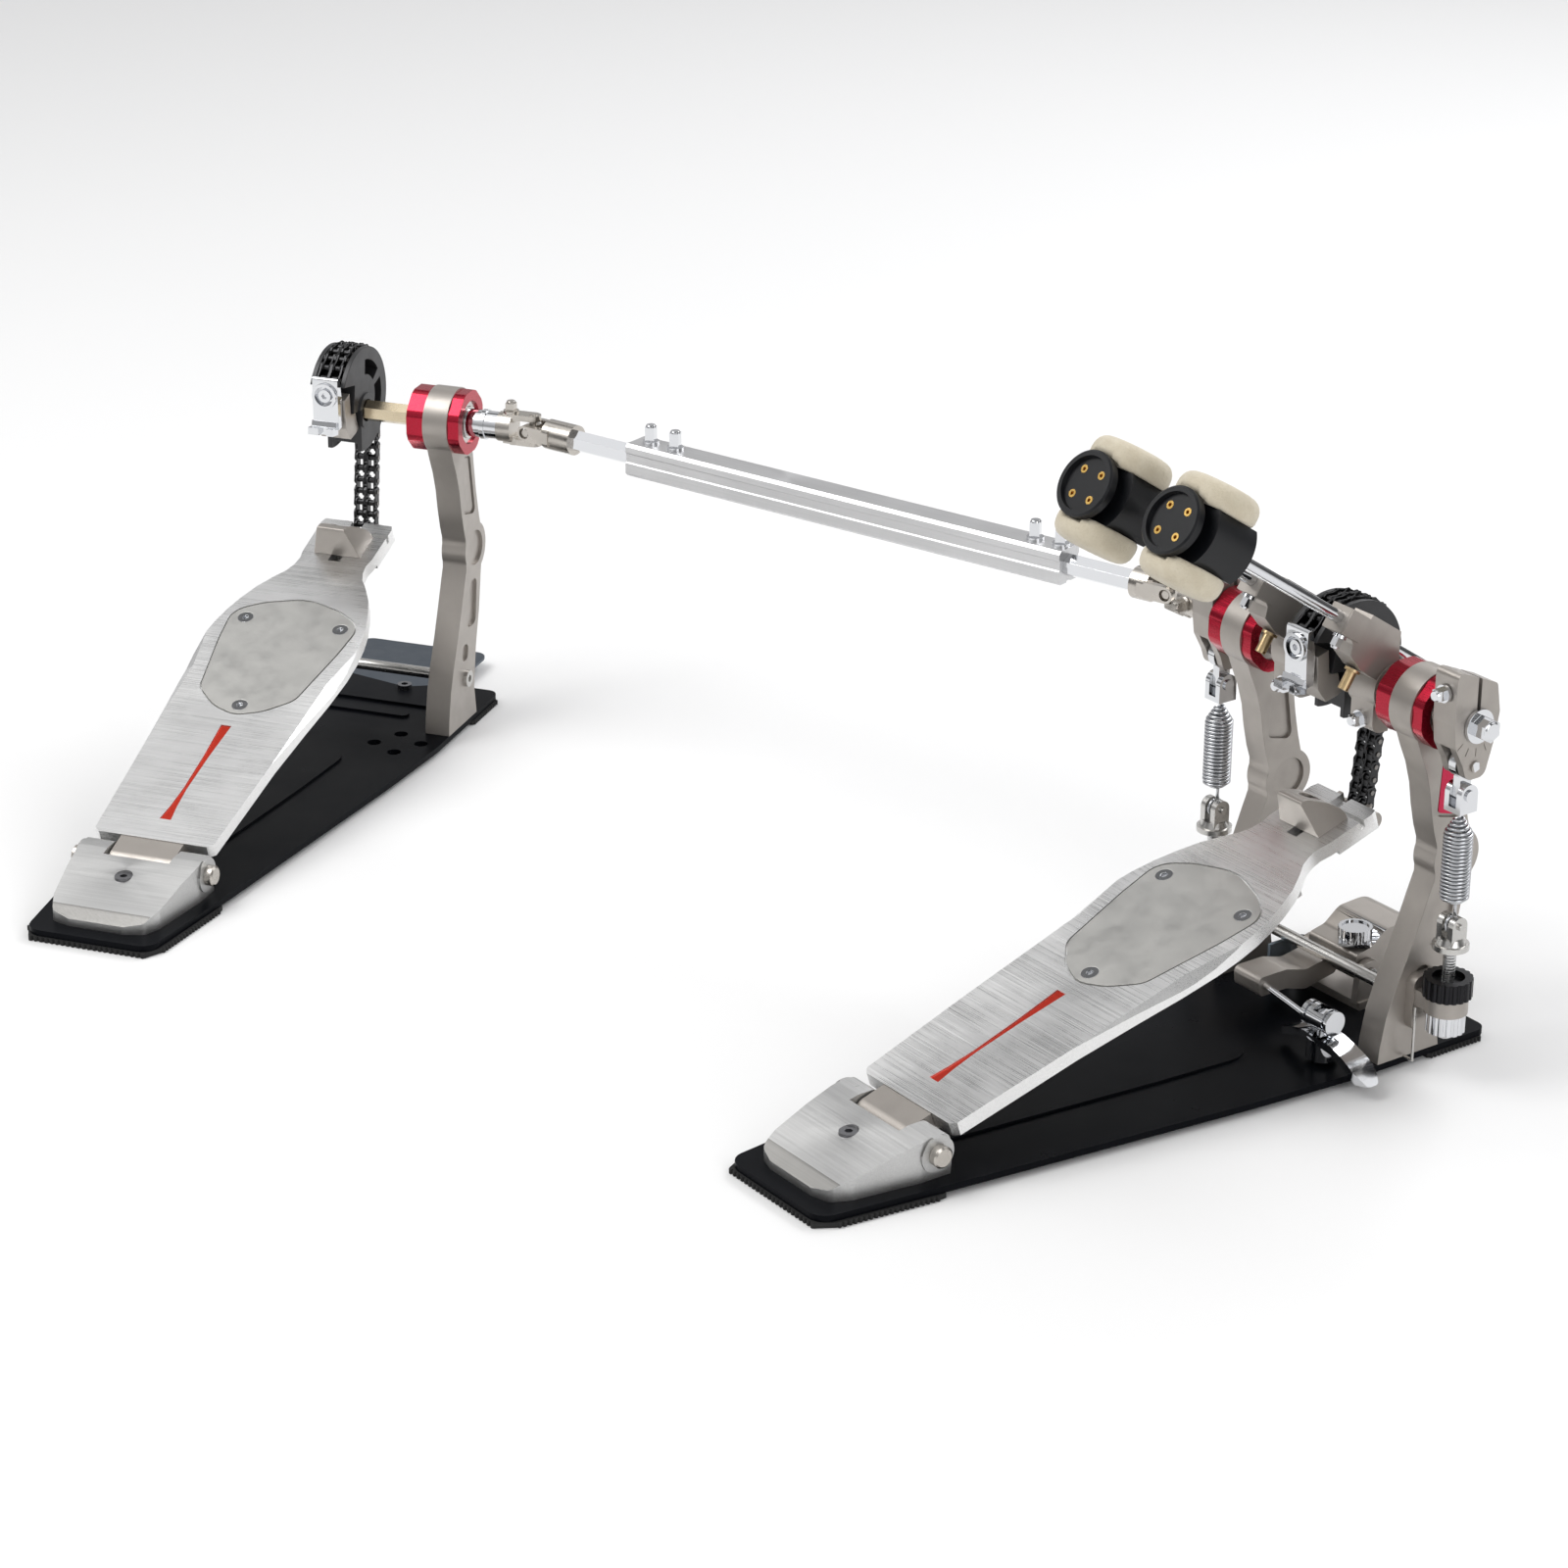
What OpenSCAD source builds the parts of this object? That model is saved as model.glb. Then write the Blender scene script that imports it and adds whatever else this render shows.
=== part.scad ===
// Double bass drum pedal: a right pedal and a left slave pedal joined by a telescopic drive shaft.
// +X is the drummer's right, +Y points at the drum, +Z is up. The origin is on the floor under the
// beater shaft, midway between the right pedal's posts. Lengths are in millimetres.

/* [Pedal frame] */
// Height of the beater shaft above the floor
shaft_h = 178; // [177.5:0.5:178.5]
// Distance from the beater shaft back to the heel hinge
heel_y = 258; // [257.5:0.5:258.5]
// Height of the heel hinge pin
hinge_h = 17.7; // [17.5:0.1:17.9]
// Slope of the footboard at rest
board_pitch = 17.7; // [17.5:0.1:17.9]
// Thickness of each cast post
post_w = 14; // [13:0.5:14]
// Thickness of the steel base plates
base_t = 3.2; // [3:0.1:3.2]

/* [Slave pedal] */
// Slave pedal position along X
slave_x = -586.3; // [-610:1:-570]
// Slave pedal position along Y
slave_y = -180.9; // [-190:1:-170]
// Angle the slave pedal is turned outwards
slave_yaw = 34.8; // [32:0.2:37]

/* [Drive] */
// Distance between opposite flats of the hexagonal shafts
hex_af = 10; // [9.6:0.2:10]
// Length of the sliding tube of the drive shaft
tube_len = 269; // [255:1:275]

/* [Chain] */
// Pitch of the double-strand chain
pitch = 6.35; // [6.3:0.05:6.4]
// Radius of the chain line on the cam
cam_r = 27; // [26.8:0.1:27.2]
// Number of links hanging between the cam and the toe
drop_n = 13; // [13]

/* [Beaters] */
// Distance of each beater rod from the middle of the pedal
beater_x = 29; // [28.5:0.5:29.5]
// Lean of the beater rods back from the vertical
beater_lean = 56.7; // [55:0.1:58]
// Diameter of the felt faces
felt_d = 38; // [37:1:39]

/* [Springs] */
// Distance of each spring from the middle of the pedal
spring_x = 82; // [81.8:0.1:82.2]
// Outside diameter of the spring coils
spring_d = 14; // [13:0.5:14.5]

/* [Hidden] */
$fn = 48;

gap = 0.02;                // clearance between neighbouring pieces
pad_t = 2.4;               // rubber pads under the base plate
base_z = pad_t + base_t;   // top of the base plate
frame_z = base_z + gap;    // underside of pieces standing on it
inner_x = 50.5;            // inner and outer faces of the posts
outer_x = inner_x + post_w;
shaft_r = 6;
sleeve_r = 8.5;            // sleeves on the shafts, inside the bearings
heel_screw_y = -281;
cross_y = 1;               // cross rod between the posts
cross_z = 30.4;
base_screw = [14.6, 29.5];

// Colours shared by several pieces
cast = [0.6, 0.58, 0.55];
toe_cast = [0.6, 0.57, 0.53];
screw_steel = [0.75, 0.75, 0.75];
bright_steel = [0.8, 0.8, 0.8];
bolt_steel = [0.78, 0.78, 0.8];
chrome = [0.8, 0.8, 0.82];
sleeve_steel = [0.62, 0.6, 0.56];
joint_steel = [0.66, 0.64, 0.6];
cross_steel = [0.5, 0.5, 0.5];
chain_black = [0.06, 0.06, 0.065];

// ---- helpers; ends along X may be given in either order ----
module cyl_x(radius, x0, x1, y = 0, z = 0, facets = 48)
    translate([min(x0, x1), y, z]) rotate([0, 90, 0])
        cylinder(r = radius, h = abs(x1 - x0), $fn = facets);
module cyl_y(radius, y0, y1, x = 0, z = 0, facets = 48)
    translate([x, y0, z]) rotate([-90, 0, 0]) cylinder(r = radius, h = y1 - y0, $fn = facets);
module cyl_z(radius, z0, z1, x = 0, y = 0, facets = 48)
    translate([x, y, z0]) cylinder(r = radius, h = z1 - z0, $fn = facets);
module box(x0, x1, y0, y1, z0, z1)
    translate([min(x0, x1), y0, z0]) cube([abs(x1 - x0), y1 - y0, z1 - z0]);
// profile drawn in (Y, Z) and extruded along X
module slab_x(x0, x1, points)
    translate([min(x0, x1), 0, 0]) rotate([90, 0, 90])
        linear_extrude(abs(x1 - x0)) polygon(points);

function unit(v) = v / norm(v);
// points of the arc that rounds one corner
function round_corner(before, corner, after, radius, steps) = let (
    to_before = unit(before - corner),
    to_after = unit(after - corner),
    half_angle = acos(max(-1, min(1, to_before * to_after))) / 2,
    setback = radius / tan(half_angle),
    centre = corner + unit(to_before + to_after) * radius / sin(half_angle),
    first = corner + to_before * setback - centre,
    last = corner + to_after * setback - centre,
    start = atan2(first[1], first[0]),
    turn = ((atan2(last[1], last[0]) - start + 540) % 360) - 180)
    [for (i = [0:steps])
        centre + radius * [cos(start + turn * i / steps), sin(start + turn * i / steps)]];
// outline with each corner rounded to its own radius; 0 leaves it sharp
function rounded(points, radii, steps = 5) = let (count = len(points))
    [for (i = [0:count - 1]) each (radii[i] > 0
        ? round_corner(points[(i + count - 1) % count], points[i], points[(i + 1) % count],
            radii[i], steps)
        : [points[i]])];
// the +X half of an outline followed by its mirror image
function mirrored(half) =
    concat(half, [for (i = [len(half) - 1:-1:0]) [-half[i][0], half[i][1]]]);
function rounded_mirrored(half, radii, steps = 5) =
    rounded(mirrored(half), concat(radii, [for (i = [len(radii) - 1:-1:0]) radii[i]]), steps);

module slave_place() translate([slave_x, slave_y, 0]) rotate([0, 0, slave_yaw]) children();
module board_place() translate([0, -heel_y, hinge_h]) rotate([board_pitch, 0, 0]) children();
module left_side() mirror([1, 0, 0]) children();

// ---- screws; z = 0 is under the head ----
// drum-key bolt: round flange, square driving head with a tapered end, shank below
module key_bolt(length, radius = 3, head_h = 4.2) {
    cylinder(r = radius + 1.2, h = 1.6, $fn = 36);
    translate([-radius * 0.78, -radius * 0.78, 1.5])
        cube([radius * 1.56, radius * 1.56, head_h]);
    translate([0, 0, head_h + 1.4])
        cylinder(r1 = radius * 0.9, r2 = radius * 0.7, h = 1.2, $fn = 24);
    translate([0, 0, -length]) cylinder(r = radius * 0.62, h = length + 0.1, $fn = 24);
}
module socket_screw(head_r, head_h, length) difference() {
    union() {
        cylinder(r = head_r, h = head_h);
        translate([0, 0, -length]) cylinder(r = 2.4, h = length + 0.1, $fn = 24);
    }
    translate([0, 0, head_h - 1.4]) cylinder(r = 2, h = 3, $fn = 6);
}
// the head starts at z = 0 and narrows upwards into the shank
module countersunk(head_r, shank_r, length) difference() {
    union() {
        cylinder(r1 = head_r, r2 = shank_r, h = 1.9);
        translate([0, 0, 1.8]) cylinder(r = shank_r, h = length, $fn = 24);
    }
    translate([0, 0, -1]) cylinder(r = head_r * 0.4, h = 2.3, $fn = 6);
}

// ---- base plates ----
// right half, [x, y]
base_outline = rounded_mirrored(
    [[34, -322], [41.5, -262], [60, -96], [64.5, -40], [64.5, 46]],
    [9, 6, 0, 0, 6]);
hole_pcd = 25.4;
hole_centre = [41.8, -42];
post_screw_y = [-8, 6];
// raised area of the sheet
module emboss(height, outline) translate([0, 0, base_z - 0.2])
    linear_extrude(height) polygon(outline);
module slave_embosses() {
    emboss(1.5, rounded_mirrored([[32, -8], [32, -1]], [3.4, 3.4]));
    emboss(1.6, mirrored([[49, 9], [49, 44]]));
    emboss(1.6, rounded_mirrored([[38, 40], [38, 94]], [0, 7]));
}
// four holes in a ring at the plate's right edge
module hole_ring() for (k = [0:3])
    translate([hole_centre[0] + hole_pcd / 2 * cos(15 + 90 * k),
        hole_centre[1] + hole_pcd / 2 * sin(15 + 90 * k), -1]) cylinder(r = 3.75, h = 12);
module base_plate(slave) color([0.03, 0.03, 0.035]) difference() {
    union() {
        translate([0, 0, pad_t]) linear_extrude(base_t) polygon(base_outline);
        emboss(1.4, rounded_mirrored([[9, -236], [20, -120], [24, -62]], [8, 30, 14]));
        if (slave) slave_embosses();
    }
    for (s = [-1, 1], y = post_screw_y) cyl_z(2.1, -1, 11, s * 57.5, y);
    if (slave) {
        hole_ring();
        cyl_z(2.5, 0, 12, base_screw[0], base_screw[1]);
    }
    cyl_z(2.5, 0, 12, 0, heel_screw_y);
}
// row of slanted teeth, 1 high, on the right of the line from start to end
function teeth(start, end, count) = let (step = (end - start) / count,
    tip = [step[1], -step[0]] / norm(step))
    [for (i = [0:count - 1]) each [
        start + step * i,
        start + step * (i + 0.25) + tip,
        start + step * (i + 0.6) + tip,
        start + step * (i + 0.8)]];
module pad(outline, hole) difference() {
    linear_extrude(pad_t - gap) polygon(outline);
    cyl_z(2.5, -1, 12, hole[0], hole[1]);
}
module base_pads() color([0.06, 0.06, 0.06]) {
    // heel pad
    pad(concat(
        teeth([-32, -322.5], [32, -322.5], 22),
        teeth([36.5, -314], [42.6, -262], 20),
        [[42.4, -259], [-42.4, -259]],
        teeth([-42.6, -262], [-36.5, -314], 20)), [0, heel_screw_y]);
    // pad under the posts
    pad(concat(
        [[-64, 8], [-22, 8], [-22, -12], [22, -12], [22, 8], [64, 8]],
        teeth([64.6, 9], [64.6, 42], 14),
        teeth([60, 46.6], [-60, 46.6], 44),
        teeth([-64.6, 42], [-64.6, 9], 14)), base_screw);
}

// ---- heel ----
hinge_pin_r = 4;
heel_seat_z = 19.4;   // bottom of the heel screw's counterbore
// side profile, [y, z]
heel_side = rounded(
    [[-313, frame_z], [-313, 9.5], [-306, 13.5], [-281, 21.6], [-262, 26.3], [-251.5, 26.3],
     [-249.2, 17.7], [-250, frame_z]],
    [0, 2, 8, 0, 3, 4, 3, 0], 4);
// right half of the plan, [x, y]
heel_plan = rounded_mirrored(
    [[15, -312.6], [25, -309.6], [29, -300], [33.6, -266], [33.6, -245]],
    [6, 5, 5, 5, 0], 4);
module heel_plate() color([0.72, 0.72, 0.7]) difference() {
    union() {
        intersection() {
            slab_x(-40, 40, heel_side);
            linear_extrude(60) polygon(heel_plan);
        }
        for (s = [-1, 1]) cyl_x(8.8, s * 25, s * 34.8, -heel_y, hinge_h);
    }
    // slot for the hinge tongue
    box(-18.2, 18.2, -heel_y - 9, -200, -1, 60);
    cyl_x(hinge_pin_r, -60, 60, -heel_y, hinge_h);
    // counterbore and hollow underside
    cyl_z(4.6, heel_seat_z, 60, 0, heel_screw_y);
    cyl_z(2.5, -1, 60, 0, heel_screw_y);
    box(-24, 24, -303, -287, -1, 9.5);
}
module hinge_pin() color([0.62, 0.6, 0.57]) {
    cyl_x(hinge_pin_r, -36, 36, -heel_y, hinge_h);
    for (s = [-1, 1]) {
        cyl_x(5.2, s * 34.9, s * 38.4, -heel_y, hinge_h);
        translate([s * 38.4, -heel_y, hinge_h]) rotate([0, s * 90, 0])
            cylinder(r1 = 5.2, r2 = 4.2, h = 0.8);
    }
}

// ---- posts ----
// edges seen from the side, [y, z]; x0 is a post's face with the lower x
post_heel_edge = [
    [-13, 167], [-9.5, 158], [-5.5, 149], [-2.2, 138], [-0.4, 127], [2.2, 116], [4.6, 109],
    [4.6, 92], [1.4, 84], [-3.5, 71], [-9.4, 56], [-15.6, 42], [-20.4, 29], [-23.4, 14],
    [-24.2, frame_z]];
post_drum_edge = [
    [14, frame_z], [11.4, 22], [15, 44], [20.6, 64], [24, 84], [25.2, 90], [25.2, 111],
    [22.5, 121], [19.8, 134], [16.8, 155], [13, 166]];
// recessed panels from the top down, [outline, corner radii]
post_panels = [
    [[[5.2, 156], [13, 154.5], [18.6, 120], [3.2, 124]], [2, 3, 3, 3]],
    [[[9.5, 83], [18.5, 83.5], [15.3, 58], [2.6, 58]], [3, 3, 4, 4]],
    [[[-2.5, 50], [5, 50], [3.5, 41], [-4.5, 41]], [3.2, 3.2, 3.2, 3.2]]];
label_outline = rounded([[6.2, 154.8], [12.2, 153.6], [17.2, 121.6], [4.6, 125.2]],
    [1.5, 2, 2.4, 2.4], 4);
boss = [17.6, 100.5];
panel_depth = 1.6;
housing_r = 15;
module post_casting(x0) difference() {
    union() {
        slab_x(x0, x0 + post_w, concat(post_heel_edge, post_drum_edge));
        cyl_x(18, x0, x0 + post_w, 0, shaft_h, 72);
        cyl_x(14, x0, x0 + post_w, boss[0], boss[1], 60);
    }
    cyl_x(housing_r, x0 - 5, x0 + post_w + 5, 0, shaft_h);
    for (start = [x0 - 1, x0 + post_w - panel_depth]) {
        for (panel = post_panels)
            slab_x(start, start + panel_depth + 1, rounded(panel[0], panel[1], 4));
        cyl_x(9.6, start, start + panel_depth + 1, boss[0], boss[1]);
    }
    // seat for the cross rod in the inner face, and a screw hole right through
    cyl_x(3.02, x0 > 0 ? x0 - 5 : x0 + 4, x0 > 0 ? x0 + post_w - 4 : x0 + post_w + 5,
        cross_y, cross_z);
    cyl_x(2, x0 - 5, x0 + post_w + 5, cross_y, cross_z);
    for (y = post_screw_y) cyl_z(2.1, 0, 16, x0 + 7, y);
}
module post(x0, label_x) {
    color([0.6, 0.57, 0.54]) post_casting(x0);
    color([0.65, 0.03, 0.1]) slab_x(label_x, label_x + 0.7, label_outline);
}
module left_post() post(-outer_x, -outer_x + 0.9);
module right_post() post(inner_x, outer_x - panel_depth + gap);

// ---- bearings ----
// octagonal end of a housing, its corners turned down
module housing_end(x0, x1) intersection() {
    translate([x0, 0, shaft_h]) rotate([0, 90, 0]) rotate([0, 0, 22.5])
        cylinder(r = 18.2, h = x1 - x0, $fn = 8);
    cyl_x(17.4, x0, x1, 0, shaft_h, 72);
}
module housing(x0) color([0.72, 0.03, 0.06]) difference() {
    union() {
        housing_end(x0 - 9.6, x0 - gap);
        cyl_x(housing_r, x0 - gap, x0 + post_w + gap, 0, shaft_h);
        housing_end(x0 + post_w + gap, x0 + post_w + 6.4);
    }
    cyl_x(11.6, x0 - 20, x0 + post_w + 20, 0, shaft_h);
}
module bearings(x0) color([0.75, 0.75, 0.76])
    for (start = [x0 - 8.4, x0 + post_w - 2]) difference() {
        cyl_x(11.57, start, start + 7, 0, shaft_h);
        cyl_x(8.6, start - 1, start + 8, 0, shaft_h);
        // ring of dimples
        for (k = [0:11])
            cyl_x(0.9, start - 1, start + 0.6,
                10.1 * cos(k * 30), shaft_h + 10.1 * sin(k * 30), 16);
    }
module bearing_housing(x0) {
    housing(x0);
    bearings(x0);
}
module main_bearing_housings() for (x0 = [inner_x, -outer_x]) bearing_housing(x0);

// ---- frame hardware ----
module cross_rod() color([0.7, 0.7, 0.7]) difference() {
    cyl_x(3, -inner_x - 10, inner_x + 10, cross_y, cross_z);
    for (s = [-1, 1]) cyl_x(1.7, s * inner_x, s * (inner_x + 11), cross_y, cross_z);
}
module heel_screw() translate([0, heel_screw_y, heel_seat_z + gap]) socket_screw(4.5, 2.2, 14);
module main_frame_hardware() {
    hinge_pin();
    cross_rod();
    color(screw_steel) {
        heel_screw();
        // hexagon screws into the ends of the cross rod
        for (s = [-1, 1]) translate([s * (outer_x + 5 + gap), cross_y, cross_z])
            rotate([0, s * 90, 0]) {
                cylinder(r = 3.5, h = 3, $fn = 6);
                translate([0, 0, -22]) cylinder(r = 1.65, h = 22.1, $fn = 24);
            }
    }
}
module slave_cross_screw() {
    head_r = 4.6;
    face = outer_x + gap;
    difference() {
        union() {
            cyl_x(head_r, face, face + 2, cross_y, cross_z);
            cyl_x(1.65, face - 16, face, cross_y, cross_z, 24);
        }
        cyl_x(head_r * 0.45, face + 0.7, face + 3, cross_y, cross_z, 6);
    }
}
module slave_frame_hardware() {
    hinge_pin();
    cross_rod();
    color(screw_steel) {
        heel_screw();
        slave_cross_screw();
        translate([base_screw[0], base_screw[1], base_z + 1.4 + gap]) socket_screw(4, 2.6, 5);
    }
}

// ---- footboard, in its own frame: x across, y along from the hinge, z up from the hinge axis ----
board_top = 7.3;
board_under = 0.3;
// right half, [x, y]
board_outline = mirrored([
    [30, 12], [33, 14.5], [34.4, 45], [36.4, 80], [39.6, 112], [42.6, 138], [44, 158],
    [43.8, 172], [42.6, 184], [40.4, 195], [37, 206], [32.6, 217], [27, 226.5], [22.4, 233],
    [20.2, 239], [19.4, 245], [20.4, 251], [20.8, 278], [19.6, 281.4]]);
traction_outline = rounded(
    [[0, 211], [22, 204], [36.6, 194.5], [34, 170], [27, 130], [14, 118.2],
     [0, 112.8], [-14, 118.2], [-27, 130], [-34, 170], [-36.6, 194.5], [-22, 204]],
    [28, 30, 13, 60, 12, 26, 14, 26, 12, 60, 13, 30], 8);
// right halves, [x, y]
groove_outline = mirrored([[2.9, 103.5], [1.5, 78], [1, 52], [1.8, 38], [3.1, 27.5]]);
inlay_outline = mirrored([[2.8, 103.4], [1.4, 78], [0.9, 52], [1.7, 38], [3, 27.6]]);
upper_screws = [[-27.5, 190.3], [27.5, 190.3]];
traction_screws = concat(upper_screws, [[0, 120.6]]);
recess_depth = 1.8;
groove_depth = 1.1;
stop_screw_y = 261;
function scaled_about(points, centre, factor) =
    [for (p = points) centre + (p - centre) * factor];
// tilted block that bevels the board's edge
module edge_cutter(x, y, length, turn, s)
    translate([s * x, y, board_top - 0.7]) rotate([0, s * 38, -s * turn])
        cube([14, length, 6], center = true);
module footboard() {
    color([0.78, 0.78, 0.77]) difference() {
        union() {
            translate([0, 0, board_under]) linear_extrude(board_top - board_under)
                polygon(board_outline);
            // stiffening flanges under the board
            for (s = [-1, 1]) box(s * 22, s * 26, 36, 226, -4.5, board_under + 0.01);
            box(-26, 26, 222, 226, -4.5, board_under + 0.01);
            for (s = [-1, 1]) box(s * 13, s * 20.2, 256, 281, -2.2, board_under + 0.01);
        }
        // traction plate recess and inlay groove
        translate([0, 0, board_top - recess_depth]) linear_extrude(4)
            polygon(scaled_about(traction_outline, [0, 160], 1.022));
        translate([0, 0, board_top - groove_depth]) linear_extrude(4) polygon(groove_outline);
        // scallops on both edges
        for (s = [-1, 1]) {
            edge_cutter(42.5, 92, 109, 1.8, s);
            edge_cutter(47, 162, 34, 9.9, s);
        }
        // slots at the toe, one across and one along
        box(-30, 30, 270.5, 273, 3.2, 20);
        box(-3.4, 3.4, 246, 300, 3.2, 20);
        // screw holes
        for (p = upper_screws) cyl_z(1.6, -1, 20, p[0], p[1], 24);
        cyl_z(1.62, 2.5, 20, 0.04, 120.6, 24);
        // seat for the hinge tongue
        box(-17.6, 17.6, 0, 30, -2, 2.3);
    }
    color([0.7, 0.06, 0.03]) translate([0, 0, board_top - groove_depth + gap])
        linear_extrude(0.5) polygon(inlay_outline);
}
module traction_plate() color([0.42, 0.42, 0.4])
    translate([0, 0, board_top - recess_depth + gap]) difference() {
        linear_extrude(1.9) polygon(traction_outline);
        for (p = traction_screws)
            translate([p[0], p[1], -0.1]) cylinder(r1 = 1.5, r2 = 4.52, h = 2.12);
    }
// side profile, [y, height above the board]
toe_stop_side = [
    [251, gap], [249, 18.2], [249.8, 19.2], [253.5, 18.6], [263, 11.6], [268.2, 6],
    [269.6, 3], [269.6, gap]];
module toe_stop() color(toe_cast) difference() {
    intersection() {
        slab_x(-20, 20, [for (p = toe_stop_side) [p[0], board_top + p[1]]]);
        translate([0, 300, 0]) rotate([90, 0, 0]) linear_extrude(60)
            polygon(mirrored([[13.9, board_top - 1], [7.8, board_top + 19.6]]));
    }
    cyl_z(1.9, 0, 60, 0, stop_screw_y);
    cyl_z(4.8, board_top + 6, board_top + 66, 0, stop_screw_y);
}
module hinge_tongue() difference() {
    // barrel, web and foot
    union() {
        cyl_x(7, -17.4, 17.4, 0, 0);
        box(-17.4, 17.4, 1, 11.9, 0, 6.9);
        box(-17.4, 17.4, 1, 29, -3, 2.25);
    }
    cyl_x(hinge_pin_r + 0.05, -30, 30, 0, 0);
}
// ears at the toe that hold the lowest chain pin
module chain_ear(s) difference() {
    union() {
        box(s * 8.3, s * 11, 270, 286.4, -9, board_under - gap);
        box(s * 8.3, s * 11, 281.45, 286.4, -9, 3.5);
        cyl_x(4.4, s * 8.3, s * 11, toe_along, toe_up, 32);
    }
    cyl_x(1.5, -20, 20, toe_along, toe_up, 32);
}
module stop_screw() difference() {
    union() {
        cyl_z(3.7, board_top + 6 + gap, board_top + 9.4 + gap, 0, stop_screw_y);
        cyl_z(1.8, 3.3, board_top + 6.1, 0, stop_screw_y, 24);
    }
    translate([-5, stop_screw_y - 0.5, board_top + 8.4]) cube([10, 1, 4]);
}
module board_fittings() {
    color(cast) hinge_tongue();
    color(toe_cast) for (s = [-1, 1]) chain_ear(s);
    color(screw_steel) {
        cyl_x(1.5, -12, 12, toe_along, toe_up, 32);
        for (p = traction_screws) translate([p[0], p[1], board_top + 0.16]) mirror([0, 0, 1])
            countersunk(4.3, 1.5, p[0] == 0 ? 2.8 : 7);
        stop_screw();
    }
}

// ---- chain; points are [y, z] ----
cam_centre = [-1, shaft_h + 6.3];
drop_angle = 6.4;                            // lean of the hanging chain from the vertical
link_angle = 2 * asin(pitch / 2 / cam_r);    // turn of the cam from one pin to the next
function cam_pin(k) = cam_centre
    + cam_r * [cos(-drop_angle + link_angle * k), sin(-drop_angle + link_angle * k)];
function drop_pin(k) = cam_pin(0) + pitch * k * [-sin(drop_angle), -cos(drop_angle)];
toe_pin = drop_pin(drop_n);
// the same pin in the footboard's frame
toe_along = (toe_pin[0] + heel_y) * cos(board_pitch) + (toe_pin[1] - hinge_h) * sin(board_pitch);
toe_up = -(toe_pin[0] + heel_y) * sin(board_pitch) + (toe_pin[1] - hinge_h) * cos(board_pitch);
link_r = 2.85;
waist = 2.1;
strand_x = 3.2;   // each strand from the middle of the chain
pin_r = 1.15;
pin_end = 6.9;
// link plate from a pin at the origin to one a pitch below
link_outline = concat(
    [for (t = [70, 35, 0, -35, -70]) link_r * [sin(t), cos(t)]],
    [[-waist, -pitch / 2]],
    [for (t = [110, 145, 180, 215, 250]) [0, -pitch] + link_r * [-sin(t), cos(t)]],
    [[waist, -pitch / 2]]);
module link_plate(x0, x1) slab_x(x0, x1, link_outline);
module link_at(upper, lower) translate([0, upper[0], upper[1]])
    rotate([atan2(lower[0] - upper[0], upper[1] - lower[1]), 0, 0]) children();
module outer_plates() {
    for (s = [-1, 1]) link_plate(s * 5.65, s * 6.4);
    link_plate(-0.7, 0.7);
}
module inner_plates() for (s = [-1, 1], side = [-1, 1])
    link_plate(s * strand_x + side * 1.59, s * strand_x + side * 2.34);
module pin_at(p) cyl_x(pin_r, -pin_end, pin_end, p[0], p[1], 20);
module rollers_at(p) for (s = [-1, 1])
    cyl_x(1.65, s * strand_x - 1.6, s * strand_x + 1.6, p[0], p[1], 20);
module chain_wrap() color(chain_black) union() {
    for (k = [4:10]) link_at(cam_pin(k + 1), cam_pin(k))
        if (k % 2 == 0) outer_plates(); else inner_plates();
    for (k = [4:11]) pin_at(cam_pin(k));
    for (k = [5:11]) rollers_at(cam_pin(k));
}
// two links on the cam, from pin k down to pin k - 2; the last pair ends in two short pins
module chain_pair(k, last) color(chain_black) difference() {
    end = cam_pin(k - 2);
    union() {
        link_at(cam_pin(k), cam_pin(k - 1)) inner_plates();
        link_at(cam_pin(k - 1), end) outer_plates();
        rollers_at(cam_pin(k));
        rollers_at(cam_pin(k - 1));
        pin_at(cam_pin(k - 1));
        if (last) for (s = [-1, 1]) cyl_x(pin_r, s * 5.7, s * pin_end, end[0], end[1], 20);
        else pin_at(end);
    }
    cyl_x(1.2, -8, 8, cam_pin(k)[0], cam_pin(k)[1], 20);
}
module chain_upper() chain_pair(4, false);
module chain_middle() chain_pair(2, true);
module chain_drop() color(chain_black) difference() {
    union() {
        for (k = [0:drop_n - 1]) link_at(drop_pin(k), drop_pin(k + 1))
            if (k % 2 == 1) outer_plates(); else inner_plates();
        for (k = [1:drop_n - 1]) pin_at(drop_pin(k));
        for (k = [0:drop_n]) rollers_at(drop_pin(k));
    }
    cyl_x(1.55, -8, 8, toe_pin[0], toe_pin[1], 32);
}

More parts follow.
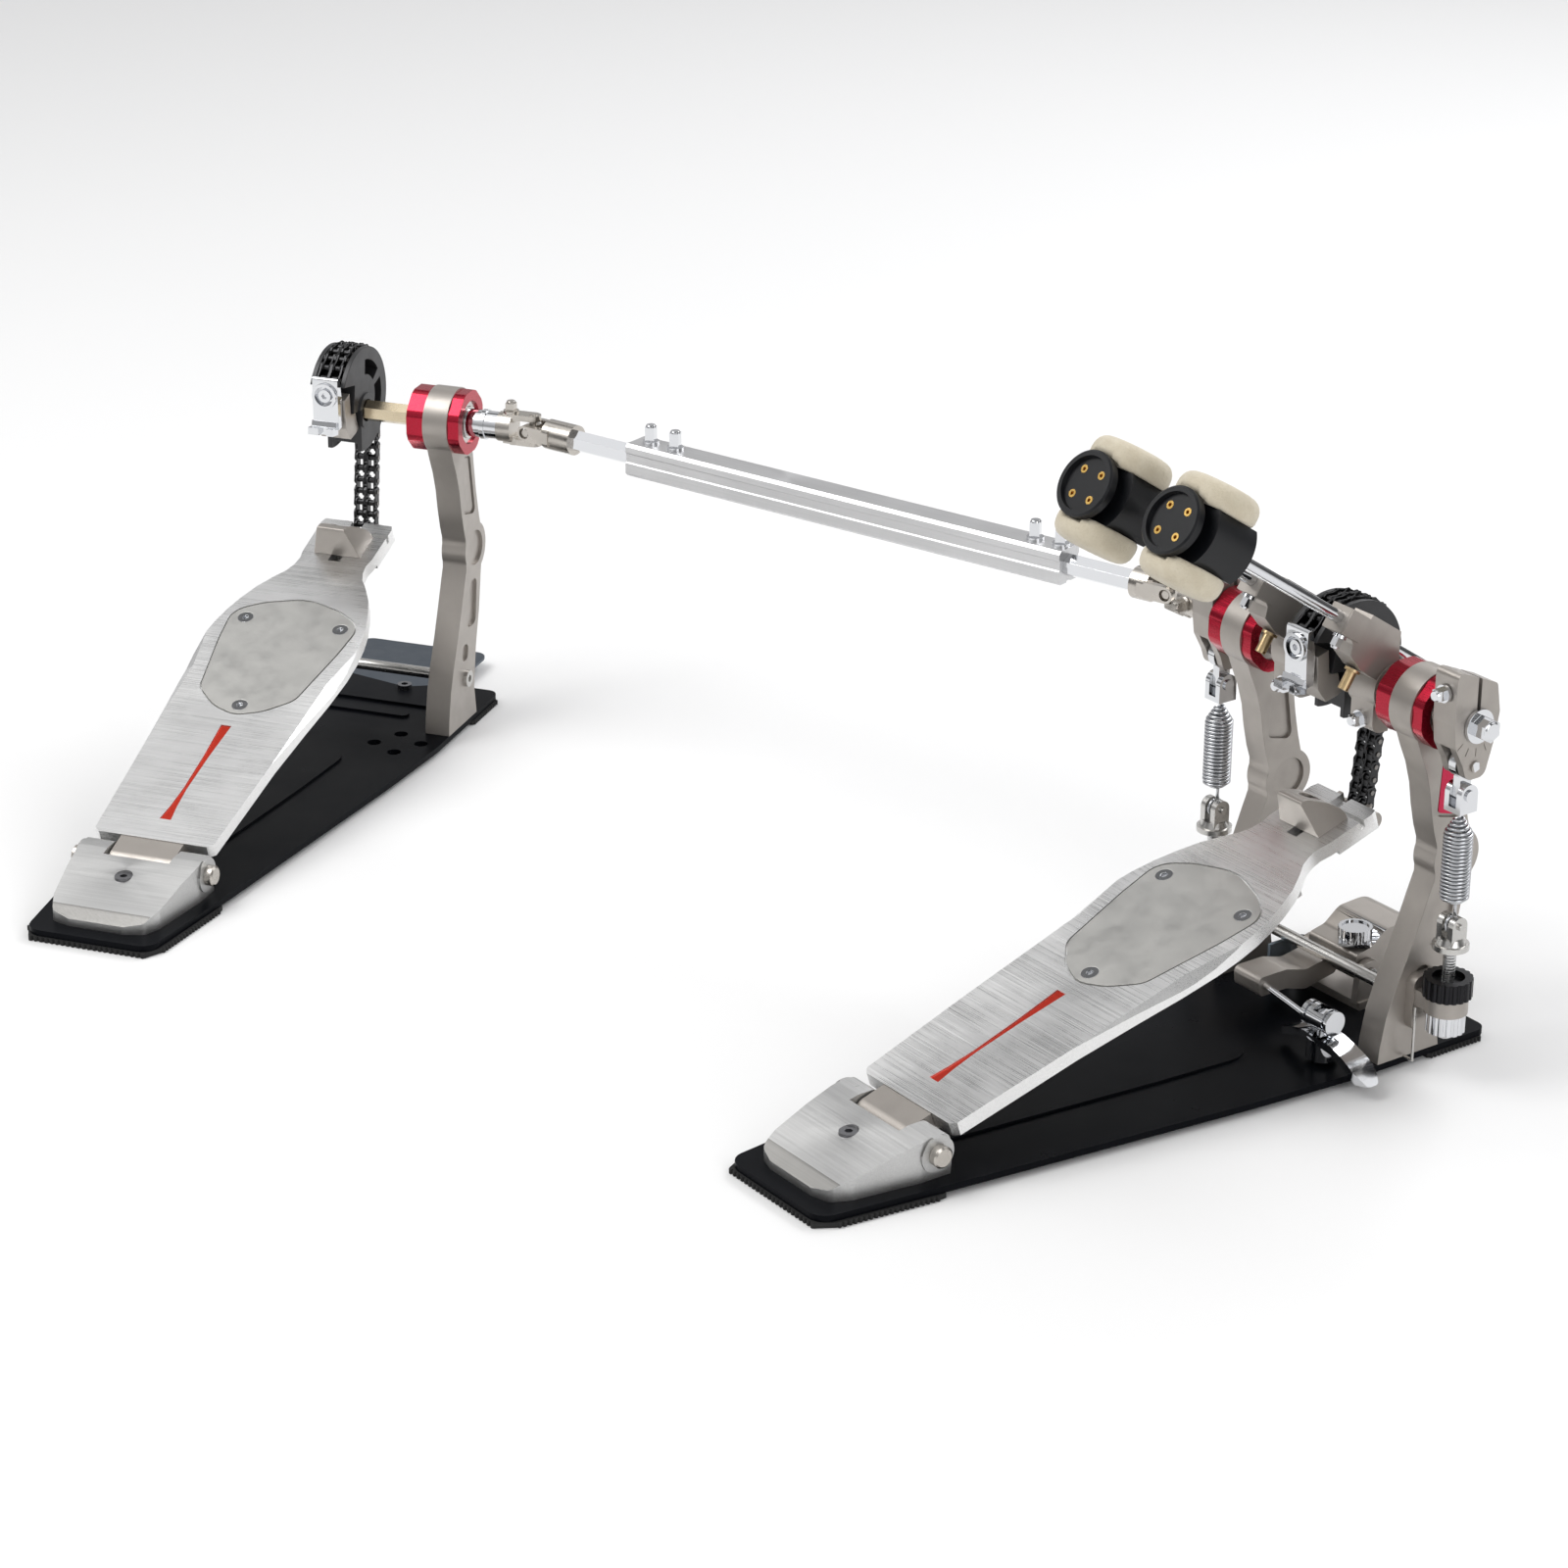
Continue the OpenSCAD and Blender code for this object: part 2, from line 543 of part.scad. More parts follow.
// ---- cam ----
function arc(radius, angles) = [for (a = angles) radius * [cos(a), sin(a)]];
module cam_window(start, end) {
    step = (end - start) / 8;
    polygon(concat(
        arc(21.5, [for (i = [0:8]) start + step * i]),
        arc(13.5, [for (i = [8:-1:0]) start + step * i])));
}
module cam() color([0.1, 0.1, 0.1]) difference() {
    union() {
        cyl_x(cam_r - 2.95, -8, 8, cam_centre[0], cam_centre[1], 96);
        for (s = [-1, 1]) cyl_x(28.4, s * 7.4, s * 10, cam_centre[0], cam_centre[1], 96);
        cyl_x(9.5, -11, 11, 0, shaft_h);
    }
    cyl_x(shaft_r, -20, 20, 0, shaft_h);
    // windows between the spokes
    translate([-20, cam_centre[0], cam_centre[1]]) rotate([90, 0, 90]) linear_extrude(40) {
        cam_window(-38, 18);
        cam_window(34, 84);
    }
    // notch for the chain clamp
    translate([0, cam_centre[0], cam_centre[1]]) rotate([-10, 0, 0])
        box(-20, 20, -60, -13.4, -30, 9);
    box(-20, 20, -60, -6.6, 120, shaft_h + 2.2);
}
// side profiles, [y, z]
carrier_side = [
    [-10.2, 168], [-6.8, 170], [-10.2, 178.9], [-10.2, 179.2], [-15.8, 180], [-17, 192],
    [-23.5, 190], [-22.5, 174], [-17, 166.5]];
clamp_side = rounded(
    [[-24, 176], [-23.9, 190.4], [-25.9, 203], [-28.9, 203.4], [-29.2, 192], [-28.6, 175]],
    [0.6, 0, 0.8, 1.4, 0, 0], 3);
clamp_foot_side = [
    [-34.4, 173], [-27, 171.8], [-26.2, 178.8], [-28.9, 179.2], [-29.6, 176.4],
    [-34.2, 176.8]];
clamp_screw_z = 193.6;
module chain_clamp() {
    // cast carrier on the cam
    color(cast) difference() {
        slab_x(-8.6, 8.6, carrier_side);
        cyl_x(9.6, -20, 20, 0, shaft_h);
    }
    color(chrome) {
        // clamp plate with a foot below and a rim round its screw
        difference() {
            union() {
                slab_x(-7.3, 7.3, clamp_side);
                slab_x(-8.2, 6, clamp_foot_side);
                cyl_y(6.9, -30.8, -26, 0, clamp_screw_z);
            }
            cyl_y(5.3, -40, -26.4, 0, clamp_screw_z);
            box(-2.2, 2.2, -36, -31, 170, 180);
        }
        difference() {
            cyl_y(3.5, -30, -26.5, 0, clamp_screw_z, 32);
            cyl_y(1.7, -40, -28.6, 0, clamp_screw_z, 6);
        }
    }
}

// ---- beater hubs: z of the rod's frame runs out along the rod, y is the striking direction ----
rod_offset = 16;   // rod axis from the shaft axis
rod_r = 3;
jaw_bolt = [1.6, 43.6];             // x and z in the rod's frame
lug_bolt = [beater_x - 3, 163];     // x and z
module rod_frame() translate([beater_x, 0, shaft_h]) rotate([beater_lean, 0, 0])
    translate([0, rod_offset, 0]) children();
// outline of the hub casting in the rod's frame, [y, z]
hub_side = [
    [-17, 7.5], [-8, 2], [1, 8.6], [8, 12.6], [8, 34.2], [5.9, 34.4], [5.9, 48.4],
    [-6.5, 48.4], [-6.6, 39.6], [-8, 37.6], [-13, 35.6], [-16.4, 25]];
lug_side = rounded([[-11, 174], [-11, 157], [11, 157], [11, 174]], [0, 5.4, 5.4, 0], 4);
module hub_casting() difference() {
    union() {
        cyl_x(12.4, beater_x - 12, beater_x + 6, 0, shaft_h, 60);
        rod_frame() {
            slab_x(-6.2, 5.6, hub_side);
            // jaw that grips the rod
            translate([-6.8, -6.3, 35.4]) cube([13.4, 12, 12.8]);
        }
        // split lugs under the shaft
        slab_x(beater_x - 10, beater_x + 4.6, lug_side);
    }
    cyl_x(shaft_r, 0, 60, 0, shaft_h);
    rod_frame() cylinder(r = rod_r + 0.05, h = 200, center = true);
    box(0, 60, -1, 1, 140, shaft_h);
    // groove under the jaw
    rod_frame() translate([4.4, -4.9, 34.5]) cube([4, 20, 0.9]);
    cyl_y(2, -30, 30, lug_bolt[0], lug_bolt[1], 24);
    rod_frame() translate([jaw_bolt[0], -3.9, jaw_bolt[1]]) rotate([90, 0, 0])
        cylinder(r = 1.6, h = 20, $fn = 24);
}
module beater_hub() {
    color(cast) hub_casting();
    // screw with a slotted end
    color([0.72, 0.52, 0.2]) rod_frame() translate([-1, -17.1, 23]) rotate([90, 0, 0])
        difference() {
            union() {
                cylinder(r = 3.9, h = 1.3, $fn = 32);
                cylinder(r = 2.6, h = 10.4, $fn = 32);
            }
            translate([-4, -0.5, 9]) cube([8, 1, 4]);
        }
    color(bolt_steel) {
        translate([lug_bolt[0], -11 - gap, lug_bolt[1]]) rotate([90, 0, 0]) key_bolt(20);
        rod_frame() translate([jaw_bolt[0], -6.72, jaw_bolt[1]]) rotate([90, 0, 0])
            key_bolt(2, 2.2);
    }
}

// ---- rockers that pull the springs ----
rocker_arm = 20;   // spring pin below the shaft axis
rocker_pin_z = shaft_h - rocker_arm;
rocker_bolt_z = 194.5;
// side profile, [y, z]
rocker_side = rounded(
    [[-14, 206.5], [11, 196], [13.4, 182], [11.5, 170], [6.2, 152], [-4.8, 152],
     [-7.6, 160], [-12.6, 169], [-14, 180]],
    [3, 3, 5, 5, 4.6, 4.6, 3, 5, 5], 4);
module rocker() {
    color(cast) difference() {
        slab_x(spring_x - 7, spring_x + 7, rocker_side);
        cyl_x(shaft_r, 0, 120, 0, shaft_h);
        // split above the shaft and fork below it
        box(0, 120, -1.1, 1.1, shaft_h, 230);
        box(spring_x - 3, spring_x + 3, -30, 30, 140, 168.5);
        cyl_x(1.5, 0, 120, 0, rocker_pin_z, 32);
        cyl_y(2, -30, 30, spring_x, rocker_bolt_z, 24);
        // index marks
        for (a = [-50:25:50]) translate([spring_x + 6.6, 0, shaft_h]) rotate([a, 0, 0])
            translate([0, -0.25, -15]) cube([2, 0.5, 4]);
    }
    color(bolt_steel) {
        cyl_x(1.5, spring_x - 8, spring_x + 8, 0, rocker_pin_z, 32);
        cyl_x(2.6, spring_x + 7 + gap, spring_x + 8, 0, rocker_pin_z, 32);
        translate([spring_x, -14.6, rocker_bolt_z]) rotate([90, 0, 0]) key_bolt(22);
    }
}

// ---- universal joints ----
slave_joint_x = 107;    // in the slave pedal's frame
left_joint_x = -119;
neck_r = 8;             // round part of a yoke
sleeve_end = outer_x + 6;
module hex_bar(x0, x1, across_flats = hex_af) cyl_x(across_flats / 2 / cos(30), x0, x1, 0, 0, 6);
// its neck runs along -X, its ears stand either side of the origin, the pin hole is along Z
module yoke(neck_end, hole_r) difference() {
    union() {
        cyl_x(neck_r, -neck_end, -11, 0, 0);
        for (s = [0, 1]) mirror([0, 0, s]) {
            box(-12, 0, -4.2, 4.2, 5.3, 8.4);
            translate([0, 0, 5.3]) cylinder(r = 4.2, h = 3.1);
        }
        for (s = [0, 1]) mirror([0, 0, s]) intersection() {
            box(-16, -9, -4.2, 4.2, 4, 8.4);
            cyl_x(8.9, -20, 0, 0, 0);
        }
    }
    translate([0, 0, -20]) cylinder(r = hole_r, h = 40);
}
module cross_pins(bend) {
    cyl_z(2, -8.9, 8.9);
    rotate([0, 0, bend]) {
        cyl_y(2, -7.4, 7.4);
        box(-3.2, 3.2, -3.6, 3.6, -3.2, 3.2);
    }
}

// ---- drive shaft, in a frame with x from the slave's joint to the left shaft's joint ----
slave_joint = [slave_x + slave_joint_x * cos(slave_yaw), slave_y + slave_joint_x * sin(slave_yaw)];
drive_span = [left_joint_x, 0] - slave_joint;
drive_len = norm(drive_span);
drive_yaw = atan2(drive_span[1], drive_span[0]);
tube_x0 = 69;
tube_half = 8.8;
slave_neck = 29;
main_neck = 21;
tube_screws = [for (x = [10, 26, tube_len - 20, tube_len - 5]) tube_x0 + x];
// section of the sliding tube, [y, z]
tube_section = [
    [-8.8, -7.2], [-7.2, -8.8], [-2, -8.8], [-1.4, -8], [1.4, -8], [2, -8.8], [7.2, -8.8],
    [8.8, -7.2], [8.8, -1.6], [8.1, -1], [8.1, 3.4], [8.8, 4], [8.8, 7.2], [7.2, 8.8],
    [-7.2, 8.8], [-8.8, 7.2], [-8.8, 4], [-8.1, 3.4], [-8.1, -1], [-8.8, -1.6]];
module drive_place() translate([slave_joint[0], slave_joint[1], shaft_h])
    rotate([0, 0, drive_yaw]) children();
module drive_tube() {
    // yoke and hexagonal rod at the slave end
    color(joint_steel) rotate([90, 0, 0]) mirror([1, 0, 0]) yoke(slave_neck, 2.95);
    color(bright_steel) hex_bar(slave_neck + gap, tube_x0 + 40);
    color([0.84, 0.84, 0.84]) difference() {
        slab_x(tube_x0, tube_x0 + tube_len, tube_section);
        hex_bar(tube_x0 - 1, tube_x0 + tube_len + 1, hex_af + 0.12);
        for (x = tube_screws) cyl_z(2, 0, 20, x, 0, 24);
    }
    color(bolt_steel) for (x = tube_screws) translate([x, 0, tube_half + gap])
        rotate([0, 0, 20]) key_bolt(3, 3.2, 7.6);
}
module drive_rod() {
    color(bright_steel) hex_bar(tube_x0 + tube_len - 90, drive_len - main_neck - gap);
    color(joint_steel) translate([drive_len, 0, 0]) rotate([90, 0, 0]) yoke(main_neck, 2.95);
}

// ---- beater shafts ----
module main_shaft() color([0.62, 0.56, 0.45]) {
    cyl_x(shaft_r, -10.5, 91, 0, shaft_h);
    cyl_x(sleeve_r, inner_x - 9, sleeve_end, 0, shaft_h);
    cyl_x(8.2, 89.2, 91, 0, shaft_h);
    translate([0, 0, shaft_h]) hex_bar(91, 98);
    translate([98, 0, shaft_h]) rotate([0, 90, 0]) cylinder(r1 = 4.6, r2 = 3.8, h = 0.8);
}
module left_shaft() {
    color(sleeve_steel) {
        cyl_x(shaft_r, -98, -13, 0, shaft_h);
        cyl_x(sleeve_r, -sleeve_end, -inner_x + 9, 0, shaft_h);
    }
    translate([left_joint_x, 0, shaft_h]) {
        color(joint_steel) mirror([1, 0, 0]) yoke(23, 2);
        color(cross_steel) cross_pins(drive_yaw);
        color(bolt_steel) translate([17, -neck_r - gap, 0]) rotate([90, 0, 0]) key_bolt(1);
    }
}
module slave_shaft() {
    color([0.7, 0.62, 0.5]) translate([0, 0, shaft_h]) hex_bar(-11, inner_x - 11);
    color(sleeve_steel) cyl_x(sleeve_r, inner_x - 11, sleeve_end, 0, shaft_h);
    // collar with a raised rib
    color([0.82, 0.82, 0.84]) {
        cyl_x(7.4, sleeve_end, outer_x + 14, 0, shaft_h);
        cyl_x(8.1, outer_x + 14, outer_x + 16.5, 0, shaft_h);
        cyl_x(7.4, outer_x + 16.5, 88, 0, shaft_h);
    }
    translate([slave_joint_x, 0, shaft_h]) {
        color(joint_steel) yoke(19, 2);
        color(cross_steel) cross_pins(drive_yaw - slave_yaw);
        color(bolt_steel) translate([-12.6, 0, neck_r + gap]) key_bolt(1);
    }
}

// ---- beaters ----
head_along = 150.5;   // middle of the felts along the rod
rod_tail = 38;        // rod's length on the other side of the shaft
head_half = 12.8;
module beater_rod() color([0.75, 0.75, 0.76]) rod_frame() {
    translate([0, 0, -rod_tail]) cylinder(r = rod_r, h = head_along + rod_tail + 7.5);
    translate([0, 0, -rod_tail - 0.8]) cylinder(r1 = 2.2, r2 = rod_r, h = 0.8);
}
module head_screws() for (x = [-1, 1], y = [-1, 1]) translate([x * 5.8, y * 6, 14]) children();
module beater_head() rod_frame() translate([0, 0, head_along]) {
    color([0.05, 0.05, 0.05]) difference() {
        union() {
            intersection() {
                translate([0, 0, -15]) cylinder(r = 20, h = 26.4, $fn = 72);
                translate([-30, -head_half, -40]) cube([60, 2 * head_half, 80]);
            }
            translate([0, 0, 11]) cylinder(r = 11, h = 4);
            // round cap
            translate([0, 0, 14.4]) cylinder(r1 = 13, r2 = 15.9, h = 2.2, $fn = 72);
            translate([0, 0, 16.55]) cylinder(r = 15.9, h = 3.6, $fn = 72);
            translate([0, 0, 20.1]) cylinder(r1 = 15.9, r2 = 15, h = 0.8, $fn = 72);
        }
        translate([0, 0, 18.6]) cylinder(r1 = 12.6, r2 = 13.4, h = 5, $fn = 72);
        translate([0, 0, -60]) cylinder(r = rod_r + 0.05, h = 70.06);
        head_screws() cylinder(r = 1.95, h = 10, $fn = 32);
    }
    color([0.75, 0.55, 0.2]) head_screws() difference() {
        cylinder(r = 1.95, h = 4.75, $fn = 32);
        translate([0, 0, 3]) cylinder(r = 1, h = 5, $fn = 6);
    }
}
felt_r = felt_d / 2;
// half section, [radius, height off the head]
felt_section = [
    [0, 0], [felt_r, 0], [felt_r + 0.4, 3], [felt_r - 0.2, 6.4], [felt_r - 1.8, 9.2],
    [felt_r - 4.6, 11.2], [felt_r - 8, 12], [0, 12.2]];
module beater_felts() color([0.9, 0.85, 0.74]) rod_frame() for (s = [-1, 1]) difference() {
    translate([0, 0, head_along]) rotate([-s * 90, 0, 0]) translate([0, 0, head_half + 0.04])
        rotate_extrude($fn = 72) polygon(felt_section);
    // room for the cap
    translate([0, 0, head_along + 14.3]) cylinder(r = 16.1, h = 12, $fn = 72);
}

// ---- springs ----
coil_z0 = 90.5;
coil_z1 = 130.5;
coil_n = 24;
wire_r = 0.85;
clevis_z = 78;      // lower pin
hook_pin_z = 143;
rod_clear_r = rod_r + 0.05;
function coil_radius(k) = spring_d / 2
    - (k > coil_n - 5 ? (k - coil_n + 5) * 0.55 : 0) - (k < 2 ? (2 - k) * 0.6 : 0);
function coil_ridge(k, step) = let (r = coil_radius(k)) [
    [r - 0.55, step * (k + 0.06)], [r - 0.1, step * (k + 0.28)],
    [r - 0.1, step * (k + 0.72)], [r - 0.55, step * (k + 0.94)]];
module at_spring() translate([spring_x, 0, 0]) children();
// the coils are a solid of revolution with one ridge for each turn
module spring() {
    step = (coil_z1 - coil_z0) / coil_n;
    color(bright_steel) at_spring() {
        translate([0, 0, coil_z0]) rotate_extrude($fn = 48) polygon(concat(
            [[0, 0]],
            [for (k = [0:coil_n - 1]) each coil_ridge(k, step)],
            [[0, coil_z1 - coil_z0]]));
        cyl_z(wire_r, clevis_z + 4.4, coil_z0 + 1);
        // eye round the clevis pin
        translate([0, 0, clevis_z]) rotate([90, 0, 90]) rotate_extrude($fn = 40)
            translate([4, 0]) circle(r = wire_r, $fn = 16);
    }
}
module spring_hook() color(bolt_steel) at_spring() {
    // link round the rocker's pin
    difference() {
        union() {
            cyl_x(7.2, -2.2, 2.2, 0, rocker_pin_z);
            box(-2.2, 2.2, -3.4, 3.4, 142.6, rocker_pin_z - 4.8);
            cyl_x(3.4, -2.2, 2.2, 0, 142.6, 32);
        }
        cyl_x(4.4, -9, 9, 0, rocker_pin_z);
    }
    // clevis that carries the coil
    difference() {
        union() {
            box(-5.2, 5.2, -5.3, 5.3, 134.4, hook_pin_z);
            cyl_x(5.3, -5.2, 5.2, 0, hook_pin_z);
        }
        box(-2.3, 2.3, -9, 9, 137, 160);
    }
    cyl_x(1.7, -5.8, 5.8, 0, hook_pin_z, 24);
    for (s = [-1, 1]) cyl_x(2.8, s * 5.1, s * 6.2, 0, hook_pin_z, 24);
    cyl_z(wire_r, coil_z1 + 0.05, 135);
}
// threaded rod with a flanged clevis at its head
module tension_rod() color([0.72, 0.72, 0.73]) at_spring() {
    cyl_z(3, 21, 68);
    for (k = [0:8]) cyl_z(3.02, 54.5 + 1.4 * k, 55.2 + 1.4 * k);
    difference() {
        union() {
            cyl_z(8.6, 66, 68.6);
            translate([0, 0, 68.5]) cylinder(r1 = 7, r2 = 5.8, h = 3);
            for (s = [-1, 1]) {
                box(s * 2, s * 5.2, -4.6, 4.6, 68, clevis_z);
                cyl_x(4.6, s * 2, s * 5.2, 0, clevis_z);
            }
        }
        box(-1.6, 1.6, -12, 12, 71.6, 90);
    }
    cyl_x(1.5, -6.6, 6.6, 0, clevis_z, 32);
}
module knurled(radius, z0, z1, count, groove_r) difference() {
    cyl_z(radius, z0, z1);
    for (k = [0:count - 1]) rotate([0, 0, k * 360 / count])
        translate([radius + groove_r * 0.35, 0, z0 - 1])
            cylinder(r = groove_r, h = z1 - z0 + 2, $fn = 8);
}
module tension_nuts() at_spring() {
    color([0.05, 0.05, 0.05]) difference() {
        knurled(11.6, 42.06, 51.6, 20, 1.1);
        cyl_z(rod_clear_r, 30, 60);
        translate([0, 0, 48.6]) cylinder(r = 7.6, h = 9);
    }
    color(chrome) difference() {
        knurled(9.2, 24.4, 33.94, 16, 1);
        cyl_z(rod_clear_r, 10, 60);
    }
}
// lugs on the posts' outer faces that hold the tension rods
lug_z0 = 34;
lug_z1 = 42;
lug_plate_side = rounded([[-9, 20], [10, 20], [10, 48], [-9, 48]], [5, 5, 5, 5]);
module spring_lug(s) difference() {
    union() {
        slab_x(s * (outer_x + gap), s * (outer_x + 5), lug_plate_side);
        box(s * (outer_x + 4), s * spring_x, -8, 8, lug_z0, lug_z1);
        cyl_z(10, lug_z0, lug_z1, s * spring_x, 0);
    }
    cyl_z(rod_clear_r, 20, 60, s * spring_x, 0);
    cyl_x(2, s * 60, s * 80, cross_y, cross_z, 24);
    box(s * (outer_x + 5), s * (spring_x + 20), -20, 20, 16, lug_z0 - gap);
}
module wire_clip(s) {
    cyl_z(0.7, 7, lug_z0, s * 71.4, -9.2, 20);
    cyl_x(0.7, s * (outer_x + 1.2), s * 72, -9.2, 7, 20);
}
module spring_lugs() {
    color(cast) for (s = [-1, 1]) spring_lug(s);
    color(screw_steel) for (s = [-1, 1]) wire_clip(s);
}

// ---- hoop clamp; side profiles are [y, z] ----
jaw_y = 15;   // jaw's pivot pin
jaw_z = 23;
jaw_screws_x = [-18, 8];
jaw_screw_y = 40;
wing_x = 46;
wing_y = -42;
trunnion_z = 27.4;
knob_x = 2;
knob_y = 17;
lower_jaw_side = [
    [8, frame_z], [70, frame_z], [72, base_z + 4.4], [66, base_z + 6.4], [30, base_z + 5.4],
    [24, base_z + 4], [8, base_z + 4]];
jaw_cheek_side = rounded([[7, base_z + 3], [23, base_z + 3], [21, 29], [9, 29]],
    [0, 0, 5, 5], 4);
upper_jaw_side = rounded(
    [[9, 20], [9.6, 32], [19, 34], [28, 41], [45, 42], [63, 30], [69, 17], [64, 15.5],
     [55, 24], [40, 30], [26, 22], [16, 16.4]],
    [3, 2, 6, 8, 14, 10, 1.5, 1.5, 8, 12, 8, 3], 4);
lever_side = rounded(
    [[12, 17], [-8, 13.4], [-20, 17], [-37, 17], [-38, 27], [-20, 27], [-8, 23.6],
     [10, 26.6]],
    [2, 8, 8, 3, 3, 8, 8, 2], 4);
module hoop_lower_jaw() {
    color([0.55, 0.53, 0.5]) difference() {
        union() {
            slab_x(-27, 17, lower_jaw_side);
            for (x = [-26, 12]) slab_x(x, x + 4, jaw_cheek_side);
        }
        cyl_x(3, -40, 40, jaw_y, jaw_z, 32);
        for (x = jaw_screws_x) cyl_z(2.5, 0, 40, x, jaw_screw_y);
    }
    color([0.7, 0.7, 0.7]) cyl_x(2.98, -27.5, 17.5, jaw_y, jaw_z, 32);
    // thin upright plate to the left of the jaw
    color([0.3, 0.34, 0.4]) box(-31, -29.2, -8, 6, frame_z, 26.8);
    color(screw_steel) for (x = jaw_screws_x) difference() {
        cyl_z(4.2, base_z + 5.9, base_z + 8.2, x, jaw_screw_y);
        cyl_z(2, base_z + 7, base_z + 9, x, jaw_screw_y, 6);
    }
}
module jaw_knob() {
    translate([knob_x, knob_y, 34.2]) rotate([0, 0, 45])
        translate([-7.5, -7.5, 0]) cube([15, 15, 1.6]);
    difference() {
        translate([knob_x, knob_y, 35.7]) knurled(8.2, 0, 6.4, 24, 0.6);
        translate([knob_x, knob_y, 39.2]) rotate([90, 0, 20])
            cylinder(r = 1.4, h = 20, $fn = 20);
        translate([knob_x, knob_y, 41.3]) cylinder(r = 6.6, h = 4);
    }
}
// grooved barrel, slotted for the wing screw
module trunnion() difference() {
    cyl_x(6, 36, 53.5, wing_y, trunnion_z);
    for (x = [38.4, 50.4]) difference() {
        cyl_x(9, x, x + 1.4, wing_y, trunnion_z);
        cyl_x(4.6, x - 1, x + 3, wing_y, trunnion_z);
    }
    box(wing_x - 3.3, wing_x + 3.3, wing_y - 4.2, wing_y + 4.2, 0, 60);
}
module hoop_upper_jaw() {
    color([0.58, 0.56, 0.53]) difference() {
        union() {
            // domed jaw on the drum side
            slab_x(-21.5, 11.5, upper_jaw_side);
            // S-shaped lever running back under the cross rod
            slab_x(-21.5, -4, lever_side);
        }
        cyl_x(3.05, -40, 40, jaw_y, jaw_z, 32);
    }
    color(chrome) {
        jaw_knob();
        // link across to the trunnion
        translate([-4 - gap, -33, 22]) rotate([0, 90, -10]) cylinder(r = 1.6, h = 42, $fn = 24);
        trunnion();
    }
}
// plan of the wings, [x, y]
wing_plan = rounded(
    [[-26, -3.6], [-11, -4.4], [0, -7.4], [12, -6.2], [28, -6.6], [35, -3.4],
     [35, 3.4], [28, 6.6], [12, 6.2], [0, 7.4], [-11, 4.4], [-26, 3.6]],
    [3, 10, 8, 8, 5, 3, 3, 5, 8, 8, 10, 3], 5);
module hoop_wing_screw() color([0.85, 0.85, 0.86]) translate([wing_x, wing_y, 0]) {
    cyl_z(3, base_z + 1.4, 31);
    cyl_z(7.6, 8, 18.4);
    translate([0, 0, 6.8]) cylinder(r1 = 6.3, r2 = 7.6, h = 1.25);
    // broad curved wings either side of the hub
    intersection() {
        translate([0, 0, -31.5]) rotate([90, 0, 0]) difference() {
            cylinder(r = 52, h = 18, center = true, $fn = 144);
            cylinder(r = 48.2, h = 20, center = true, $fn = 144);
        }
        translate([0, 0, 6.9]) linear_extrude(20) polygon(wing_plan);
    }
}

base_plate(false);  // main_base_plate
base_pads();  // main_base_pads
heel_plate();  // main_heel_plate
left_post();
right_post();
main_bearing_housings();
main_frame_hardware();
spring_lugs();
hoop_lower_jaw();
hoop_upper_jaw();
hoop_wing_screw();
slave_place() base_plate(true);  // slave_base_plate
slave_place() base_pads();  // slave_base_pads
slave_place() heel_plate();  // slave_heel_plate
slave_place() right_post();  // slave_post
slave_place() bearing_housing(inner_x);  // slave_bearing_housing
slave_place() slave_frame_hardware();
board_place() footboard();  // main_footboard
board_place() traction_plate();  // main_traction_plate
board_place() toe_stop();  // main_toe_stop
board_place() board_fittings();  // main_board_fittings
slave_place() board_place() footboard();  // slave_footboard
slave_place() board_place() traction_plate();  // slave_traction_plate
slave_place() board_place() toe_stop();  // slave_toe_stop
slave_place() board_place() board_fittings();  // slave_board_fittings
main_shaft();
cam();  // main_cam
chain_clamp();  // main_chain_clamp
chain_wrap();  // main_chain_wrap
beater_hub();  // right_beater_hub
rocker();  // right_rocker
chain_upper();  // main_chain_upper
chain_middle();  // main_chain_middle
chain_drop();  // main_chain_drop
left_shaft();
left_side() beater_hub();  // left_beater_hub
left_side() rocker();  // left_rocker
slave_place() slave_shaft();
slave_place() cam();  // slave_cam
slave_place() chain_clamp();  // slave_chain_clamp
slave_place() chain_wrap();  // slave_chain_wrap
slave_place() chain_upper();  // slave_chain_upper
slave_place() chain_middle();  // slave_chain_middle
slave_place() chain_drop();  // slave_chain_drop
drive_place() drive_tube();
drive_place() drive_rod();
beater_rod();  // right_beater_rod
beater_head();  // right_beater_head
beater_felts();  // right_beater_felts
left_side() beater_rod();  // left_beater_rod
left_side() beater_head();  // left_beater_head
left_side() beater_felts();  // left_beater_felts
spring();  // right_spring
spring_hook();  // right_spring_hook
tension_rod();  // right_tension_rod
tension_nuts();  // right_tension_nuts
left_side() spring();  // left_spring
left_side() spring_hook();  // left_spring_hook
left_side() tension_rod();  // left_tension_rod
left_side() tension_nuts();  // left_tension_nuts
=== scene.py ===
"""Looks for the double bass drum pedal: materials, edge rounding, wound springs, felt, light and camera around the CAD frame."""
import math

import bpy
import numpy as np
from mathutils import Matrix, Vector


